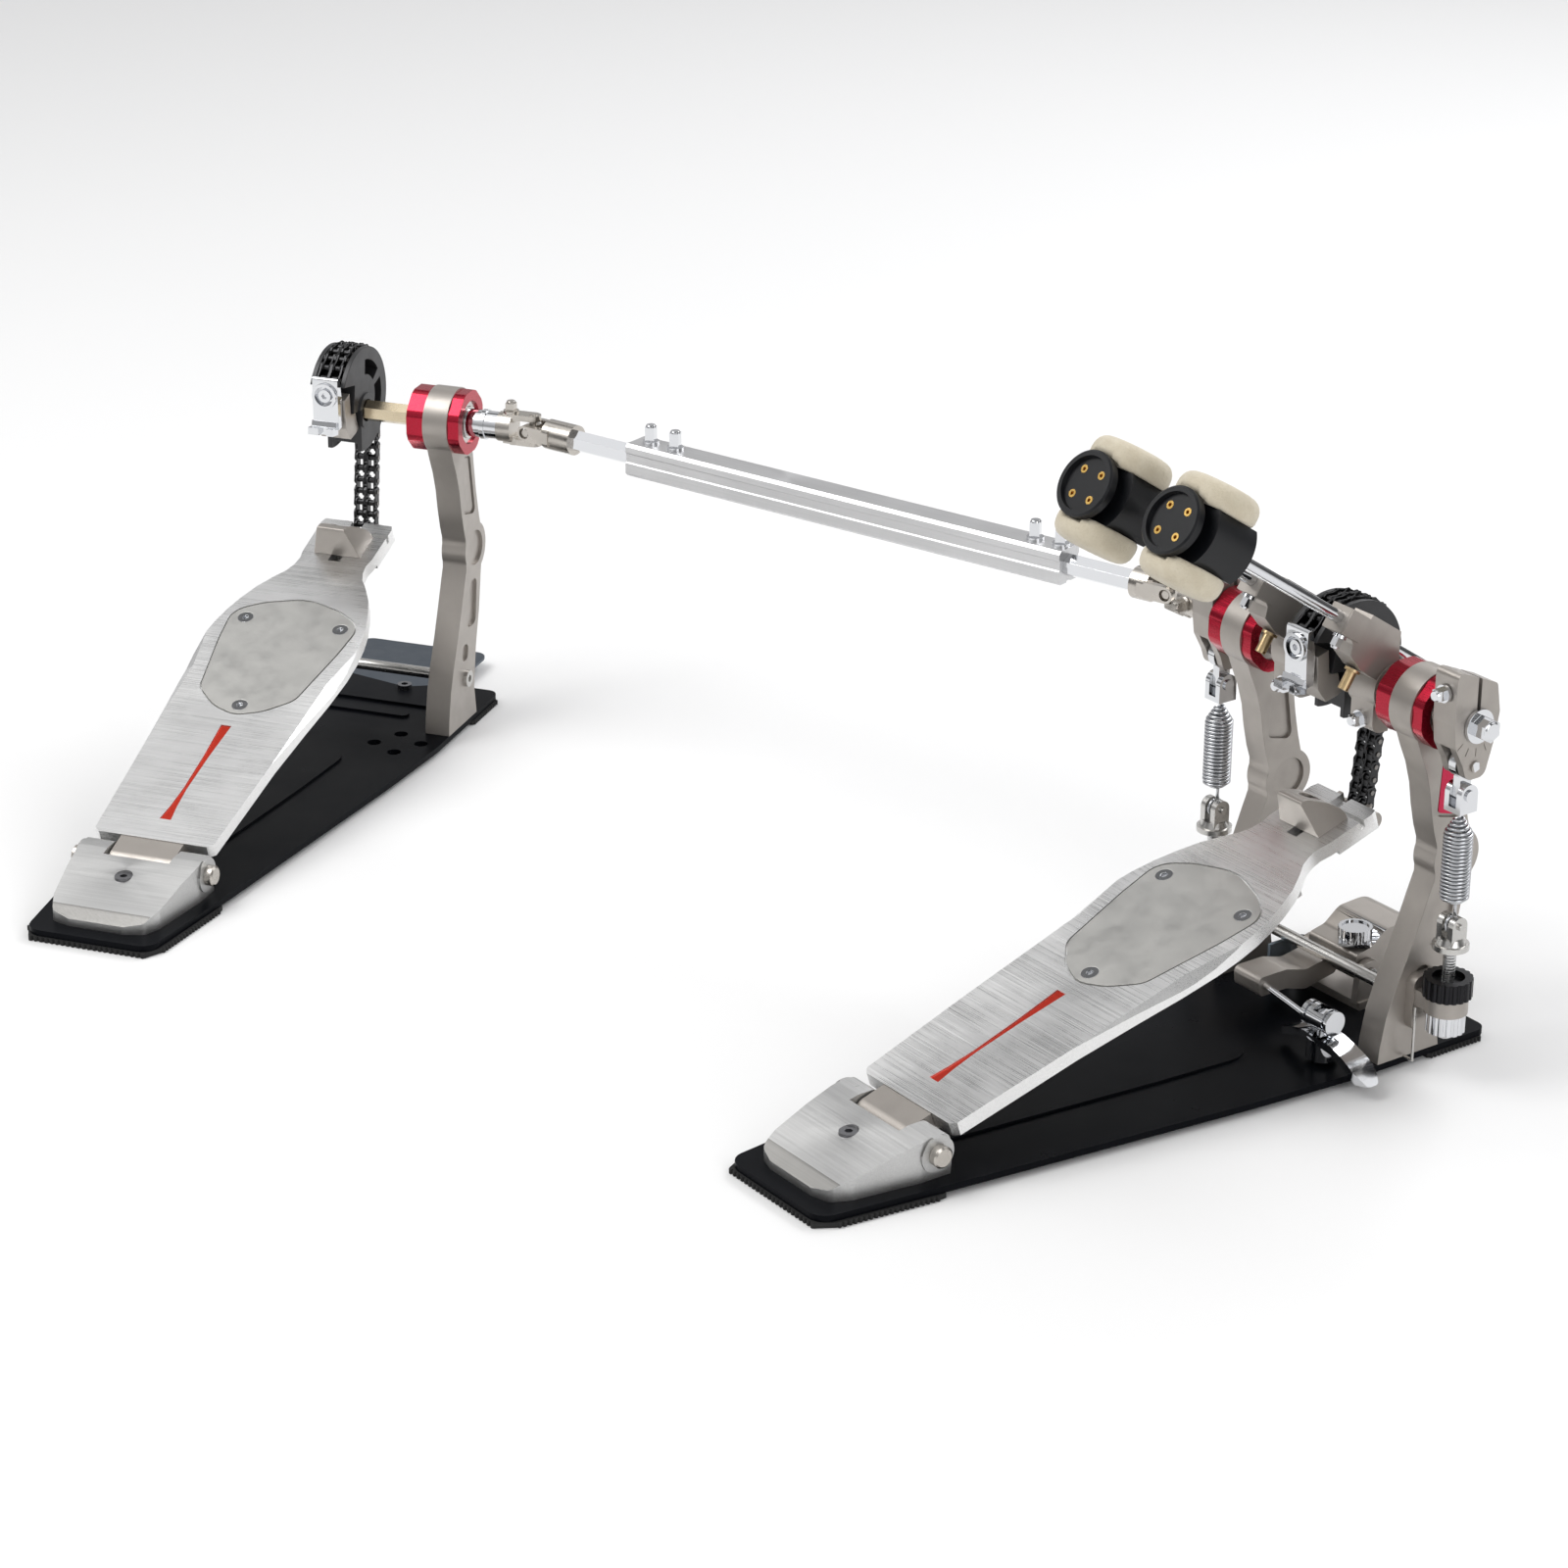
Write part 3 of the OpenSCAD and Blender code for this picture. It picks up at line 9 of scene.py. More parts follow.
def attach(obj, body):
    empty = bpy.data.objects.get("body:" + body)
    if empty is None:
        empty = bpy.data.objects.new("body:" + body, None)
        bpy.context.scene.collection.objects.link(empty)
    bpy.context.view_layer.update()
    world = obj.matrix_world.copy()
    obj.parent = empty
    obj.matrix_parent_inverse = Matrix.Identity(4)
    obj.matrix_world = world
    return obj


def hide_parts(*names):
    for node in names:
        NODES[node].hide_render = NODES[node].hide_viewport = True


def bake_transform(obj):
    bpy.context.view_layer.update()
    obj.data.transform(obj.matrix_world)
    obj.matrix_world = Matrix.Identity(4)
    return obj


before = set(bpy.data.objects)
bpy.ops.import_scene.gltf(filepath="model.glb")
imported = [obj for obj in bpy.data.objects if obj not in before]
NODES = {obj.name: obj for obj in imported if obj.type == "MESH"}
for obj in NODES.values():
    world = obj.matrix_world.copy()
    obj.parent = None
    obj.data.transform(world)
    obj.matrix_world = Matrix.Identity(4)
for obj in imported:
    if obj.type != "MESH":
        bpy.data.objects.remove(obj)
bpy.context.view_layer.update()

SLAVE = Matrix.Translation((-0.5863, -0.1809, 0)) @ Matrix.Rotation(math.radians(34.8), 4, "Z")
SLAVE_INV = SLAVE.inverted()
SHAFT_Z = 0.178
LEAN = math.radians(56.7)
PITCH = math.radians(17.7)
DRIVE_YAW = math.radians(17.527)

# ------------------------------------------------------------------ materials


class Mat:
    """A Principled material built from layered procedural detail in object space."""

    def __init__(self, name, base, metallic=0.0, rough=0.5, spec=0.5, coat=0.0, coat_rough=0.05, aniso=0.0, sheen=0.0):
        self.m = bpy.data.materials.new(name)
        self.m.use_nodes = True
        self.t = self.m.node_tree
        self.b = next(n for n in self.t.nodes if n.type == "BSDF_PRINCIPLED")
        self.base, self.rough = base, rough
        self.set("Base Color", (*base, 1))
        self.set("Metallic", metallic)
        self.set("Roughness", rough)
        self.set("Specular IOR Level", spec)
        self.set("Coat Weight", coat)
        self.set("Coat Roughness", coat_rough)
        self.set("Anisotropic", aniso)
        self.set("Sheen Weight", sheen)
        self.coord = self.node("ShaderNodeTexCoord").outputs["Object"]
        self.color_out = None
        self.rough_out = None
        self.normal_out = None

    def set(self, key, value):
        self.b.inputs[key].default_value = value

    def node(self, kind, **props):
        n = self.t.nodes.new(kind)
        for k, v in props.items():
            setattr(n, k, v)
        return n

    def link(self, a, b):
        self.t.links.new(a, b)

    def mapped(self, scale=(1, 1, 1), rot=(0, 0, 0), rot_first=None):
        src = self.coord
        if rot_first is not None:
            r = self.node("ShaderNodeMapping", vector_type="POINT")
            r.inputs["Rotation"].default_value = rot_first
            self.link(src, r.inputs["Vector"])
            src = r.outputs["Vector"]
        m = self.node("ShaderNodeMapping", vector_type="POINT")
        m.inputs["Scale"].default_value = scale
        m.inputs["Rotation"].default_value = rot
        self.link(src, m.inputs["Vector"])
        return m.outputs["Vector"]

    def noise(self, vec, scale, detail=3.0, rough=0.55):
        n = self.node("ShaderNodeTexNoise")
        n.inputs["Scale"].default_value = scale
        n.inputs["Detail"].default_value = detail
        n.inputs["Roughness"].default_value = rough
        self.link(vec, n.inputs["Vector"])
        return n.outputs["Fac"]

    def ramp(self, fac, lo, hi, out_lo, out_hi):
        r = self.node("ShaderNodeMapRange")
        r.inputs["From Min"].default_value = lo
        r.inputs["From Max"].default_value = hi
        r.inputs["To Min"].default_value = out_lo
        r.inputs["To Max"].default_value = out_hi
        self.link(fac, r.inputs["Value"])
        return r.outputs["Result"]

    def mix_color(self, fac, color, mode="MIX"):
        n = self.node("ShaderNodeMix", data_type="RGBA", blend_type=mode)
        self.link(fac, n.inputs["Factor"])
        if self.color_out is None:
            n.inputs[6].default_value = (*self.base, 1)
        else:
            self.link(self.color_out, n.inputs[6])
        n.inputs[7].default_value = (*color, 1)
        self.color_out = n.outputs[2]
        self.link(self.color_out, self.b.inputs["Base Color"])

    def add_rough(self, fac, lo, hi, a, b):
        r = self.ramp(fac, lo, hi, a, b)
        if self.rough_out is None:
            n = self.node("ShaderNodeMath", operation="ADD", use_clamp=True)
            n.inputs[0].default_value = self.rough
            self.link(r, n.inputs[1])
        else:
            n = self.node("ShaderNodeMath", operation="ADD", use_clamp=True)
            self.link(self.rough_out, n.inputs[0])
            self.link(r, n.inputs[1])
        self.rough_out = n.outputs[0]
        self.link(self.rough_out, self.b.inputs["Roughness"])

    def bump(self, fac, strength, distance):
        n = self.node("ShaderNodeBump")
        n.inputs["Strength"].default_value = strength
        n.inputs["Distance"].default_value = distance
        self.link(fac, n.inputs["Height"])
        if self.normal_out is not None:
            self.link(self.normal_out, n.inputs["Normal"])
        self.normal_out = n.outputs["Normal"]
        self.link(self.normal_out, self.b.inputs["Normal"])

    def smudges(self, amount=0.08, scale=60):
        f = self.noise(self.mapped(), scale, 4.0)
        self.add_rough(f, 0.35, 0.7, -amount * 0.4, amount)


def brushed(name, base, rough, rot_z=0.0, rot_x=0.0, along="X", streak=0.12, bump=0.05, var=0.05):
    m = Mat(name, base, 1.0, rough, aniso=0.4)
    fine = {"X": (18, 3800, 3800), "Y": (3800, 18, 3800), "Z": (3800, 3800, 18)}[along]
    mid = {"X": (5, 1100, 1100), "Y": (1100, 5, 1100), "Z": (1100, 1100, 5)}[along]
    rf = (0, 0, -rot_z)
    a = m.noise(m.mapped(fine, rot_first=rf), 1.0, 2.0)
    b = m.noise(m.mapped(mid, rot_first=rf), 1.0, 3.0)
    m.mix_color(m.ramp(b, 0.35, 0.7, 0.0, 1.0), tuple(c * (1 - var * 2) for c in base))
    m.add_rough(a, 0.3, 0.7, -streak * 0.5, streak)
    m.smudges(0.05, 35)
    m.bump(a, bump, 0.00006)
    return m.m


def casting(name, base, metallic=0.75, rough=0.36):
    m = Mat(name, base, metallic, rough, coat=0.15, coat_rough=0.3)
    f = m.noise(m.mapped(), 2200, 2.0, 0.6)
    g = m.noise(m.mapped(), 90, 4.0)
    m.mix_color(m.ramp(g, 0.3, 0.75, 0.0, 0.5), tuple(c * 0.86 for c in base))
    m.add_rough(g, 0.3, 0.7, -0.05, 0.07)
    m.bump(f, 0.12, 0.00012)
    m.bump(m.noise(m.mapped(), 420, 2.0), 0.06, 0.0003)
    return m.m


def gloss_black(name, rough=0.16, coat=0.8, coat_rough=0.06, spec=0.6):
    m = Mat(name, (0.004, 0.0045, 0.006), 0.0, rough, spec=spec, coat=coat, coat_rough=coat_rough)
    f = m.noise(m.mapped(), 900, 2.0)
    g = m.noise(m.mapped(), 30, 5.0, 0.6)
    m.mix_color(m.ramp(g, 0.45, 0.85, 0.0, 0.4), (0.009, 0.010, 0.013))
    m.add_rough(g, 0.3, 0.7, -0.04, 0.1)
    m.bump(f, 0.05, 0.0002)
    return m.m


def rubber(name, base=(0.018, 0.018, 0.018)):
    m = Mat(name, base, 0.0, 0.72, spec=0.35)
    f = m.noise(m.mapped(), 1600, 3.0)
    m.bump(f, 0.35, 0.0002)
    m.smudges(0.1, 120)
    return m.m


def chrome(name, base=(0.70, 0.71, 0.73), rough=0.07):
    m = Mat(name, base, 1.0, rough)
    m.smudges(0.07, 140)
    m.bump(m.noise(m.mapped(), 300, 2.0), 0.02, 0.0002)
    return m.m


def satin_metal(name, base, rough=0.28, scale=1500):
    m = Mat(name, base, 1.0, rough)
    f = m.noise(m.mapped(), scale, 2.0)
    m.add_rough(m.noise(m.mapped(), 80, 4.0), 0.3, 0.7, -0.06, 0.1)
    m.bump(f, 0.06, 0.0001)
    return m.m


def anodised(name, base, rough=0.22):
    m = Mat(name, base, 0.9, rough, coat=0.3, coat_rough=0.12)
    g = m.noise(m.mapped((40, 2600, 2600)), 1.0, 2.0)
    m.add_rough(g, 0.3, 0.7, -0.05, 0.1)
    m.mix_color(m.ramp(m.noise(m.mapped(), 70, 4.0), 0.4, 0.8, 0, 0.4), tuple(c * 0.7 for c in base))
    m.bump(g, 0.05, 0.00006)
    return m.m


def threads(name, base, pitch, rough=0.25):
    m = Mat(name, base, 1.0, rough)
    w = m.node("ShaderNodeTexWave", wave_type="BANDS", bands_direction="Z", wave_profile="SAW")
    w.inputs["Scale"].default_value = 1 / pitch / 6.2832 * 6.2832 / 20 * 6.2832
    m.link(m.mapped(), w.inputs["Vector"])
    m.bump(w.outputs["Fac"], 0.6, 0.0003)
    m.smudges(0.08, 160)
    return m.m


def felt_material(name):
    m = Mat(name, (0.60, 0.535, 0.41), 0.0, 0.95, spec=0.15, sheen=0.35)
    a = m.noise(m.mapped(), 900, 5.0, 0.7)
    b = m.noise(m.mapped((1, 1, 1)), 160, 4.0, 0.6)
    m.mix_color(m.ramp(b, 0.35, 0.72, 0.0, 0.6), (0.70, 0.645, 0.52))
    m.mix_color(m.ramp(a, 0.5, 0.75, 0.0, 0.45), (0.50, 0.44, 0.32))
    m.bump(a, 0.55, 0.0006)
    m.bump(b, 0.3, 0.0012)
    return m.m


M = {
    "board": brushed("board_brushed", (0.90, 0.90, 0.895), 0.29, 0.0, streak=0.12, bump=0.07, var=0.04),
    "board_s": brushed("board_brushed_slave", (0.90, 0.90, 0.895), 0.29, math.radians(34.8), streak=0.12, bump=0.07, var=0.04),
    "heel": brushed("heel_brushed", (0.62, 0.62, 0.615), 0.40, 0.0, streak=0.12, bump=0.06),
    # painted shade: a darker copy of the heel metal for the heel plate's front bevel, which on the real pedal is the
    # same metal and only looks darker from reflecting the floor
    "heel_front_painted_shade": brushed("heel_front_painted_shade", (0.30, 0.295, 0.285), 0.5, streak=0.08, bump=0.05),
    "heel_s": brushed("heel_brushed_slave", (0.58, 0.58, 0.575), 0.40, math.radians(34.8), streak=0.12, bump=0.06),
    "plate": satin_metal("tread_grey", (0.54, 0.535, 0.515), 0.42, 2600),
    "cast": casting("cast_grey", (0.40, 0.37, 0.34), 0.72, 0.38),
    "cast_dark": casting("cast_dark", (0.16, 0.15, 0.14), 0.7, 0.4),
    "black": gloss_black("base_gloss_black", 0.30, 0.0, 0.16, 0.04),
    "slate": satin_metal("slate_plate", (0.10, 0.12, 0.145), 0.35),
    "slate_light": satin_metal("slate_light", (0.26, 0.31, 0.36), 0.4),
    "rubber": rubber("rubber_black"),
    "red": anodised("red_anodised", (0.42, 0.008, 0.03)),
    "inlay": anodised("red_inlay", (0.52, 0.012, 0.06), 0.3),
    "groove": anodised("groove_red", (0.60, 0.035, 0.015), 0.35),
    "steel": satin_metal("steel_satin", (0.56, 0.55, 0.53), 0.24),
    "steel_dark": satin_metal("steel_dark", (0.20, 0.20, 0.21), 0.3),
    "nickel": satin_metal("warm_nickel", (0.52, 0.49, 0.45), 0.26),
    "brass_shaft": satin_metal("champagne_shaft", (0.62, 0.53, 0.38), 0.22),
    "brass": satin_metal("brass", (0.62, 0.40, 0.12), 0.22),
    "brass_dull": satin_metal("brass_dull", (0.52, 0.39, 0.22), 0.3),
    "chrome": chrome("chrome"),
    "spring": chrome("spring_wire", (0.52, 0.53, 0.55), 0.2),
    "chain": satin_metal("chain_black", (0.05, 0.05, 0.052), 0.32),
    "chain_pin": satin_metal("chain_pin", (0.22, 0.21, 0.20), 0.28),
    "cam": casting("cam_black", (0.035, 0.035, 0.037), 0.5, 0.42),
    "head": gloss_black("beater_black", 0.34, 0.08, 0.2, 0.3),
    "felt": felt_material("felt_cream"),
    "tube": brushed("tube_extruded", (0.66, 0.66, 0.665), 0.36, DRIVE_YAW, along="X", streak=0.08, bump=0.05, var=0.03),
    "hook": anodised("magenta_disc", (0.5, 0.01, 0.12), 0.25),
}
M["thread"] = threads("threaded_rod", (0.60, 0.60, 0.60), 0.001)
M["knurl_black"] = satin_metal("knurl_black", (0.025, 0.025, 0.027), 0.3)

# ------------------------------------------------------------------ reading the CAD meshes


def geometry(o):
    me = o.data
    co = np.zeros(len(me.vertices) * 3)
    me.vertices.foreach_get("co", co)
    co = co.reshape(-1, 3)
    n = len(me.polygons)
    centre = np.zeros(n * 3)
    me.polygons.foreach_get("center", centre)
    normal = np.zeros(n * 3)
    me.polygons.foreach_get("normal", normal)
    return co, centre.reshape(-1, 3), normal.reshape(-1, 3)


def islands(o):
    """Solid index of each polygon, from shared corner positions."""
    me = o.data
    co, _, _ = geometry(o)
    _, key = np.unique(np.round(co * 1e6).astype(np.int64), axis=0, return_inverse=True)
    key = key.reshape(-1)
    parent = np.arange(key.max() + 1)

    def find(a):
        while parent[a] != a:
            parent[a] = parent[parent[a]]
            a = parent[a]
        return a

    loops = np.zeros(len(me.loops), np.int64)
    me.loops.foreach_get("vertex_index", loops)
    start = np.zeros(len(me.polygons), np.int64)
    me.polygons.foreach_get("loop_start", start)
    total = np.zeros(len(me.polygons), np.int64)
    me.polygons.foreach_get("loop_total", total)
    for s, t in zip(start, total):
        a = find(key[loops[s]])
        for k in range(1, t):
            b = find(key[loops[s + k]])
            if a != b:
                parent[b] = a
    root = np.array([find(key[loops[s]]) for s in start])
    _, idx = np.unique(root, return_inverse=True)
    idx = idx.reshape(-1)
    boxes = []
    for i in range(idx.max() + 1):
        vs = []
        for p in np.nonzero(idx == i)[0]:
            vs.extend(loops[start[p]: start[p] + total[p]])
        pts = co[np.unique(vs)]
        boxes.append((pts.min(0), pts.max(0)))
    return idx, boxes


def local(points, slave):
    if not slave:
        return points
    m = np.array(SLAVE_INV)
    return points @ m[:3, :3].T + m[:3, 3]


def paint(name, keys, choose):
    """keys: material names; choose(centre_mm, normal, box_min_mm, box_max_mm) gives an index for each polygon."""
    o = NODES[name]
    slave = name.startswith("slave")
    idx, boxes = islands(o)
    _, centre, normal = geometry(o)
    c = local(centre, slave) * 1000
    if slave:
        normal = normal @ np.array(SLAVE_INV)[:3, :3].T
    lo_hi = []
    co, _, _ = geometry(o)
    for a, b in boxes:
        corners = np.array([[x, y, z] for x in (a[0], b[0]) for y in (a[1], b[1]) for z in (a[2], b[2])])
        lc = local(corners, slave) * 1000
        lo_hi.append((lc.min(0), lc.max(0), (local(np.array([(a + b) / 2]), slave) * 1000)[0], (b - a) * 1000))
    o.data.materials.clear()
    for k in keys:
        o.data.materials.append(M[k])
    out = [choose(c[p], normal[p], lo_hi[idx[p]]) for p in range(len(idx))]
    o.data.polygons.foreach_set("material_index", out)
    o.data.update()


def whole(name, key):
    o = NODES[name]
    o.data.materials.clear()
    o.data.materials.append(M[key])
    o.data.polygons.foreach_set("material_index", [0] * len(o.data.polygons))


def rod_coords(c, sx):
    """(along the rod, striking direction) of a point in mm, for a beater rod."""
    y, z = c[1], c[2] - 178.0
    t = -y * math.sin(LEAN) + z * math.cos(LEAN)
    m = y * math.cos(LEAN) + z * math.sin(LEAN) - 16.0
    return t, m


for pre in ("main", "slave"):
    sl = "_s" if pre == "slave" else ""
    whole(pre + "_base_pads", "rubber")
    # the heel plate's front bevel (faces sloping forward and up) gets the darker copy of the heel metal: painted shade
    paint(pre + "_heel_plate", ["heel" + sl, "heel_front_painted_shade"], lambda c, nn, b: 1 if nn[1] < -0.2 and 0.15 < nn[2] < 0.95 else 0)
    whole(pre + "_traction_plate", "plate")
    whole(pre + "_toe_stop", "cast")
    whole(pre + "_cam", "cam")
    for n in ("wrap", "upper", "middle", "drop"):
        paint(f"{pre}_chain_{n}", ["chain", "chain_pin"], lambda c, nn, b: 1 if abs(c[0]) > 6.41 else 0)
    paint(pre + "_footboard", ["board" + sl, "groove"], lambda c, nn, b: 1 if b[3].max() < 90 else 0)
    paint(pre + "_board_fittings", ["cast", "chrome", "steel"], lambda c, nn, b: 0 if (b[1][0] - b[0][0] > 20) else (2 if b[2][1] > -15 and b[2][2] > 95 else 1))
    paint(pre + "_chain_clamp", ["cast", "chrome"], lambda c, nn, b: 0 if b[1][1] > -12 else 1)
    paint(pre + "_frame_hardware", ["steel", "steel_dark", "nickel"], lambda c, nn, b: 2 if b[2][1] < -255 and b[1][0] - b[0][0] > 60 else (1 if (b[2][1] < -270 or (b[1][0] - b[0][0]) < 30) else 0))
whole("main_base_plate", "black")
paint("slave_base_plate", ["black", "slate"], lambda c, nn, b: 1 if c[1] > 46.5 else 0)
for n in ("left_post", "right_post", "slave_post"):
    paint(n, ["cast", "inlay"], lambda c, nn, b: 1 if (b[1][0] - b[0][0]) < 1.2 else 0)
for n in ("main_bearing_housings", "slave_bearing_housing"):
    paint(n, ["red", "steel"], lambda c, nn, b: 1 if b[1][2] - b[0][2] < 24 else 0)
paint("spring_lugs", ["cast", "steel"], lambda c, nn, b: 1 if b[1][2] - b[0][2] > 26.5 and b[3][1] < 3 else 0)
paint("hoop_lower_jaw", ["cast", "steel", "slate_light"], lambda c, nn, b: 0 if b[3].max() > 48 else (2 if b[1][0] < -29 else 1))
paint("hoop_upper_jaw", ["cast", "chrome"], lambda c, nn, b: 1 if (c[0] > -3.9 and c[1] < -25) or (c[2] > 34.15 and math.hypot(c[0] - 2, c[1] - 17) < 11 and (abs(c[0] - 2) + abs(c[1] - 17) < 11 or c[2] > 35.6)) else 0)
whole("hoop_wing_screw", "chrome")
paint("main_shaft", ["nickel", "chrome", "steel"], lambda c, nn, b: 1 if c[0] > 70.6 else (2 if c[0] > 41 else 0))
paint("left_shaft", ["nickel", "steel", "chrome"], lambda c, nn, b: 2 if b[3][0] < 12 else (0 if c[0] < -90 else 1))
paint("slave_shaft", ["brass_shaft", "steel", "chrome", "nickel"], lambda c, nn, b: 0 if c[0] < 39.4 else (1 if c[0] < 70.6 else (2 if c[0] < 87.9 or b[3].max() < 12 else 3)))
for n in ("right", "left"):
    paint(n + "_beater_hub", ["cast", "brass_dull", "chrome"], lambda c, nn, b: 0 if b[3].max() > 34 else (1 if 178 < b[2][2] < 192 and abs(b[2][0]) < 29.5 and b[2][1] < -14 and b[3].max() > 9 and b[2][2] < 190.5 else 2))
    paint(n + "_rocker", ["cast", "chrome"], lambda c, nn, b: 0 if b[3][2] > 40 and abs(c[2] - 158) > -1 and not (abs(c[1]) < 1.6 and abs(c[2] - 158) < 1.7) else 1)
    whole(n + "_beater_rod", "chrome")
    paint(n + "_beater_head", ["head", "brass"], lambda c, nn, b: 1 if (lambda t, m, x: t > 150.5 + 13.9 and abs(math.hypot(abs(x) - 5.8, abs(m) - 6.0)) < 1.97)(*rod_coords(c, 1), abs(c[0]) - 29.0) else 0)
    whole(n + "_beater_felts", "felt")
    whole(n + "_spring", "spring")
    whole(n + "_spring_hook", "chrome")
    paint(n + "_tension_rod", ["steel", "thread"], lambda c, nn, b: 1 if c[2] < 65.9 else 0)
    paint(n + "_tension_nuts", ["knurl_black", "chrome"], lambda c, nn, b: 0 if b[2][2] > 40 else 1)


def drive_x(c):
    ax, ay = -498.438, -119.833
    return (c[0] - ax) * math.cos(DRIVE_YAW) + (c[1] - ay) * math.sin(DRIVE_YAW)


paint("drive_tube", ["nickel", "chrome", "tube"], lambda c, nn, b: 2 if (b[3].max() > 200) else (0 if drive_x(b[2]) < 20 else 1))
paint("drive_rod", ["nickel", "chrome"], lambda c, nn, b: 0 if drive_x(b[2]) > 372 else 1)

# ------------------------------------------------------------------ rounding and smooth shading


def smooth_group():
    g = bpy.data.node_groups.new("smooth_by_angle", "GeometryNodeTree")
    g.interface.new_socket("Geometry", in_out="INPUT", socket_type="NodeSocketGeometry")
    g.interface.new_socket("Geometry", in_out="OUTPUT", socket_type="NodeSocketGeometry")
    i = g.nodes.new("NodeGroupInput")
    o = g.nodes.new("NodeGroupOutput")
    faces = g.nodes.new("GeometryNodeSetShadeSmooth")
    faces.domain = "FACE"
    edges = g.nodes.new("GeometryNodeSetShadeSmooth")
    edges.domain = "EDGE"
    edges.inputs["Shade Smooth"].default_value = False
    angle = g.nodes.new("GeometryNodeInputMeshEdgeAngle")
    gt = g.nodes.new("FunctionNodeCompare")
    gt.data_type = "FLOAT"
    gt.operation = "GREATER_THAN"
    gt.inputs[1].default_value = math.radians(28)
    g.links.new(angle.outputs["Unsigned Angle"], gt.inputs[0])
    g.links.new(i.outputs[0], faces.inputs["Geometry"])
    g.links.new(faces.outputs["Geometry"], edges.inputs["Geometry"])
    g.links.new(gt.outputs["Result"], edges.inputs["Selection"])
    g.links.new(edges.outputs["Geometry"], o.inputs[0])
    return g


SMOOTH = smooth_group()


def finish_mesh(o, width):
    me = o.data
    for n in ("custom_normal",):
        if n in me.attributes:
            me.attributes.remove(me.attributes[n])
    me.polygons.foreach_set("use_smooth", [True] * len(me.polygons))
    w = o.modifiers.new("weld", "WELD")
    w.merge_threshold = 2e-6
    d = o.modifiers.new("planar", "DECIMATE")
    d.decimate_type = "DISSOLVE"
    d.angle_limit = math.radians(0.8)
    d.delimit = {"MATERIAL"}
    if width > 0:
        b = o.modifiers.new("bevel", "BEVEL")
        b.width = width
        b.segments = 2
        b.limit_method = "ANGLE"
        b.angle_limit = math.radians(32)
        b.use_clamp_overlap = True
        b.harden_normals = False
    s = o.modifiers.new("smooth", "NODES")
    s.node_group = SMOOTH
    if width > 0:
        wn = o.modifiers.new("normals", "WEIGHTED_NORMAL")
        wn.keep_sharp = True
        wn.weight = 60


WIDTH = {
    "base_plate": 0.0006, "heel_plate": 0.0007, "post": 0.0009, "footboard": 0.0006, "toe_stop": 0.0006, "traction": 0.0002,
    "hub": 0.0006, "rocker": 0.0007, "lower_jaw": 0.0006, "upper_jaw": 0.0009, "wing": 0.0006, "lugs": 0.0006, "housing": 0.0004,
    "clamp": 0.0004, "cam": 0.0003, "tube": 0.00035, "shaft": 0.00025, "drive_rod": 0.00025, "fittings": 0.0003, "hardware": 0.00025,
    "head": 0.0005, "tension": 0.0002,
}
for name, o in NODES.items():
    width = 0.0
    for k, v in WIDTH.items():
        if k in name:
            width = v
            break
    if "_chain_" in name and "clamp" not in name:
        width = 0.0
    finish_mesh(o, width)

# ------------------------------------------------------------------ own meshes


def make(name, verts, faces, key, body=None):
    me = bpy.data.meshes.new(name)
    me.from_pydata([tuple(v) for v in verts], [], [tuple(f) for f in faces])
    me.validate()
    me.polygons.foreach_set("use_smooth", [True] * len(me.polygons))
    me.materials.append(M[key])
    o = bpy.data.objects.new(name, me)
    bpy.context.scene.collection.objects.link(o)
    if body:
        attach(o, body)
    return o


def tube_mesh(points, radius, sides=10):
    pts = [Vector(p) for p in points]
    verts, faces = [], []
    up = Vector((1, 0, 0))
    for i, p in enumerate(pts):
        a = pts[max(i - 1, 0)]
        b = pts[min(i + 1, len(pts) - 1)]
        t = (b - a).normalized()
        n = (up - t * up.dot(t))
        if n.length < 1e-3:
            n = Vector((0, 1, 0)) - t * t.y
        n.normalize()
        up = n
        s = t.cross(n)
        for k in range(sides):
            f = 2 * math.pi * k / sides
            verts.append(p + (n * math.cos(f) + s * math.sin(f)) * radius)
    m = len(pts)
    for i in range(m - 1):
        for k in range(sides):
            a, b = i * sides + k, i * sides + (k + 1) % sides
            faces.append((a, b, b + sides, a + sides))
    faces.append(tuple(reversed(range(sides))))
    faces.append(tuple(range((m - 1) * sides, m * sides)))
    return verts, faces


def spring_wire(side, x):
    """Wound tension spring: hook loop on the clevis pin, close coils, tapered end."""
    pts = []
    z0, z1 = 0.0905, 0.1305
    turns = 23
    # lower loop, turned in the YZ plane round the clevis pin
    r = 0.004
    for i in range(0, 22):
        a = math.radians(100 + i * 15.5)
        pts.append((x, r * math.cos(a), 0.078 + r * math.sin(a)))
    pts.append((x, 0.0012, 0.0836))
    pts.append((x, 0.0012, 0.0870))
    n = turns * 22
    for i in range(n + 1):
        f = i / n
        k = f * turns
        rad = 0.0062
        if k < 1.5:
            rad = 0.0018 + (0.0062 - 0.0018) * (k / 1.5)
        if k > turns - 4:
            rad = 0.0062 - (k - turns + 4) * 0.0011
        ang = 2 * math.pi * k + math.pi / 2
        pts.append((x + rad * math.cos(ang), rad * math.sin(ang) * 1.0, 0.0888 + (z1 - 0.0888) * f))
    pts.append((x, 0.0006, 0.1316))
    pts.append((x, 0.0, 0.1330))
    v, f = tube_mesh(pts, 0.00078, 8)
    return v, f


for side, x in (("right", 0.082), ("left", -0.082)):
    v, f = spring_wire(side, x)
    o = make(side + "_spring_wire", v, f, "spring")
    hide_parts(side + "_spring")
    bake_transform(o)

# felt faces: pressed discs with a softly rounded edge and a fibrous surface
rng = np.random.default_rng(7)


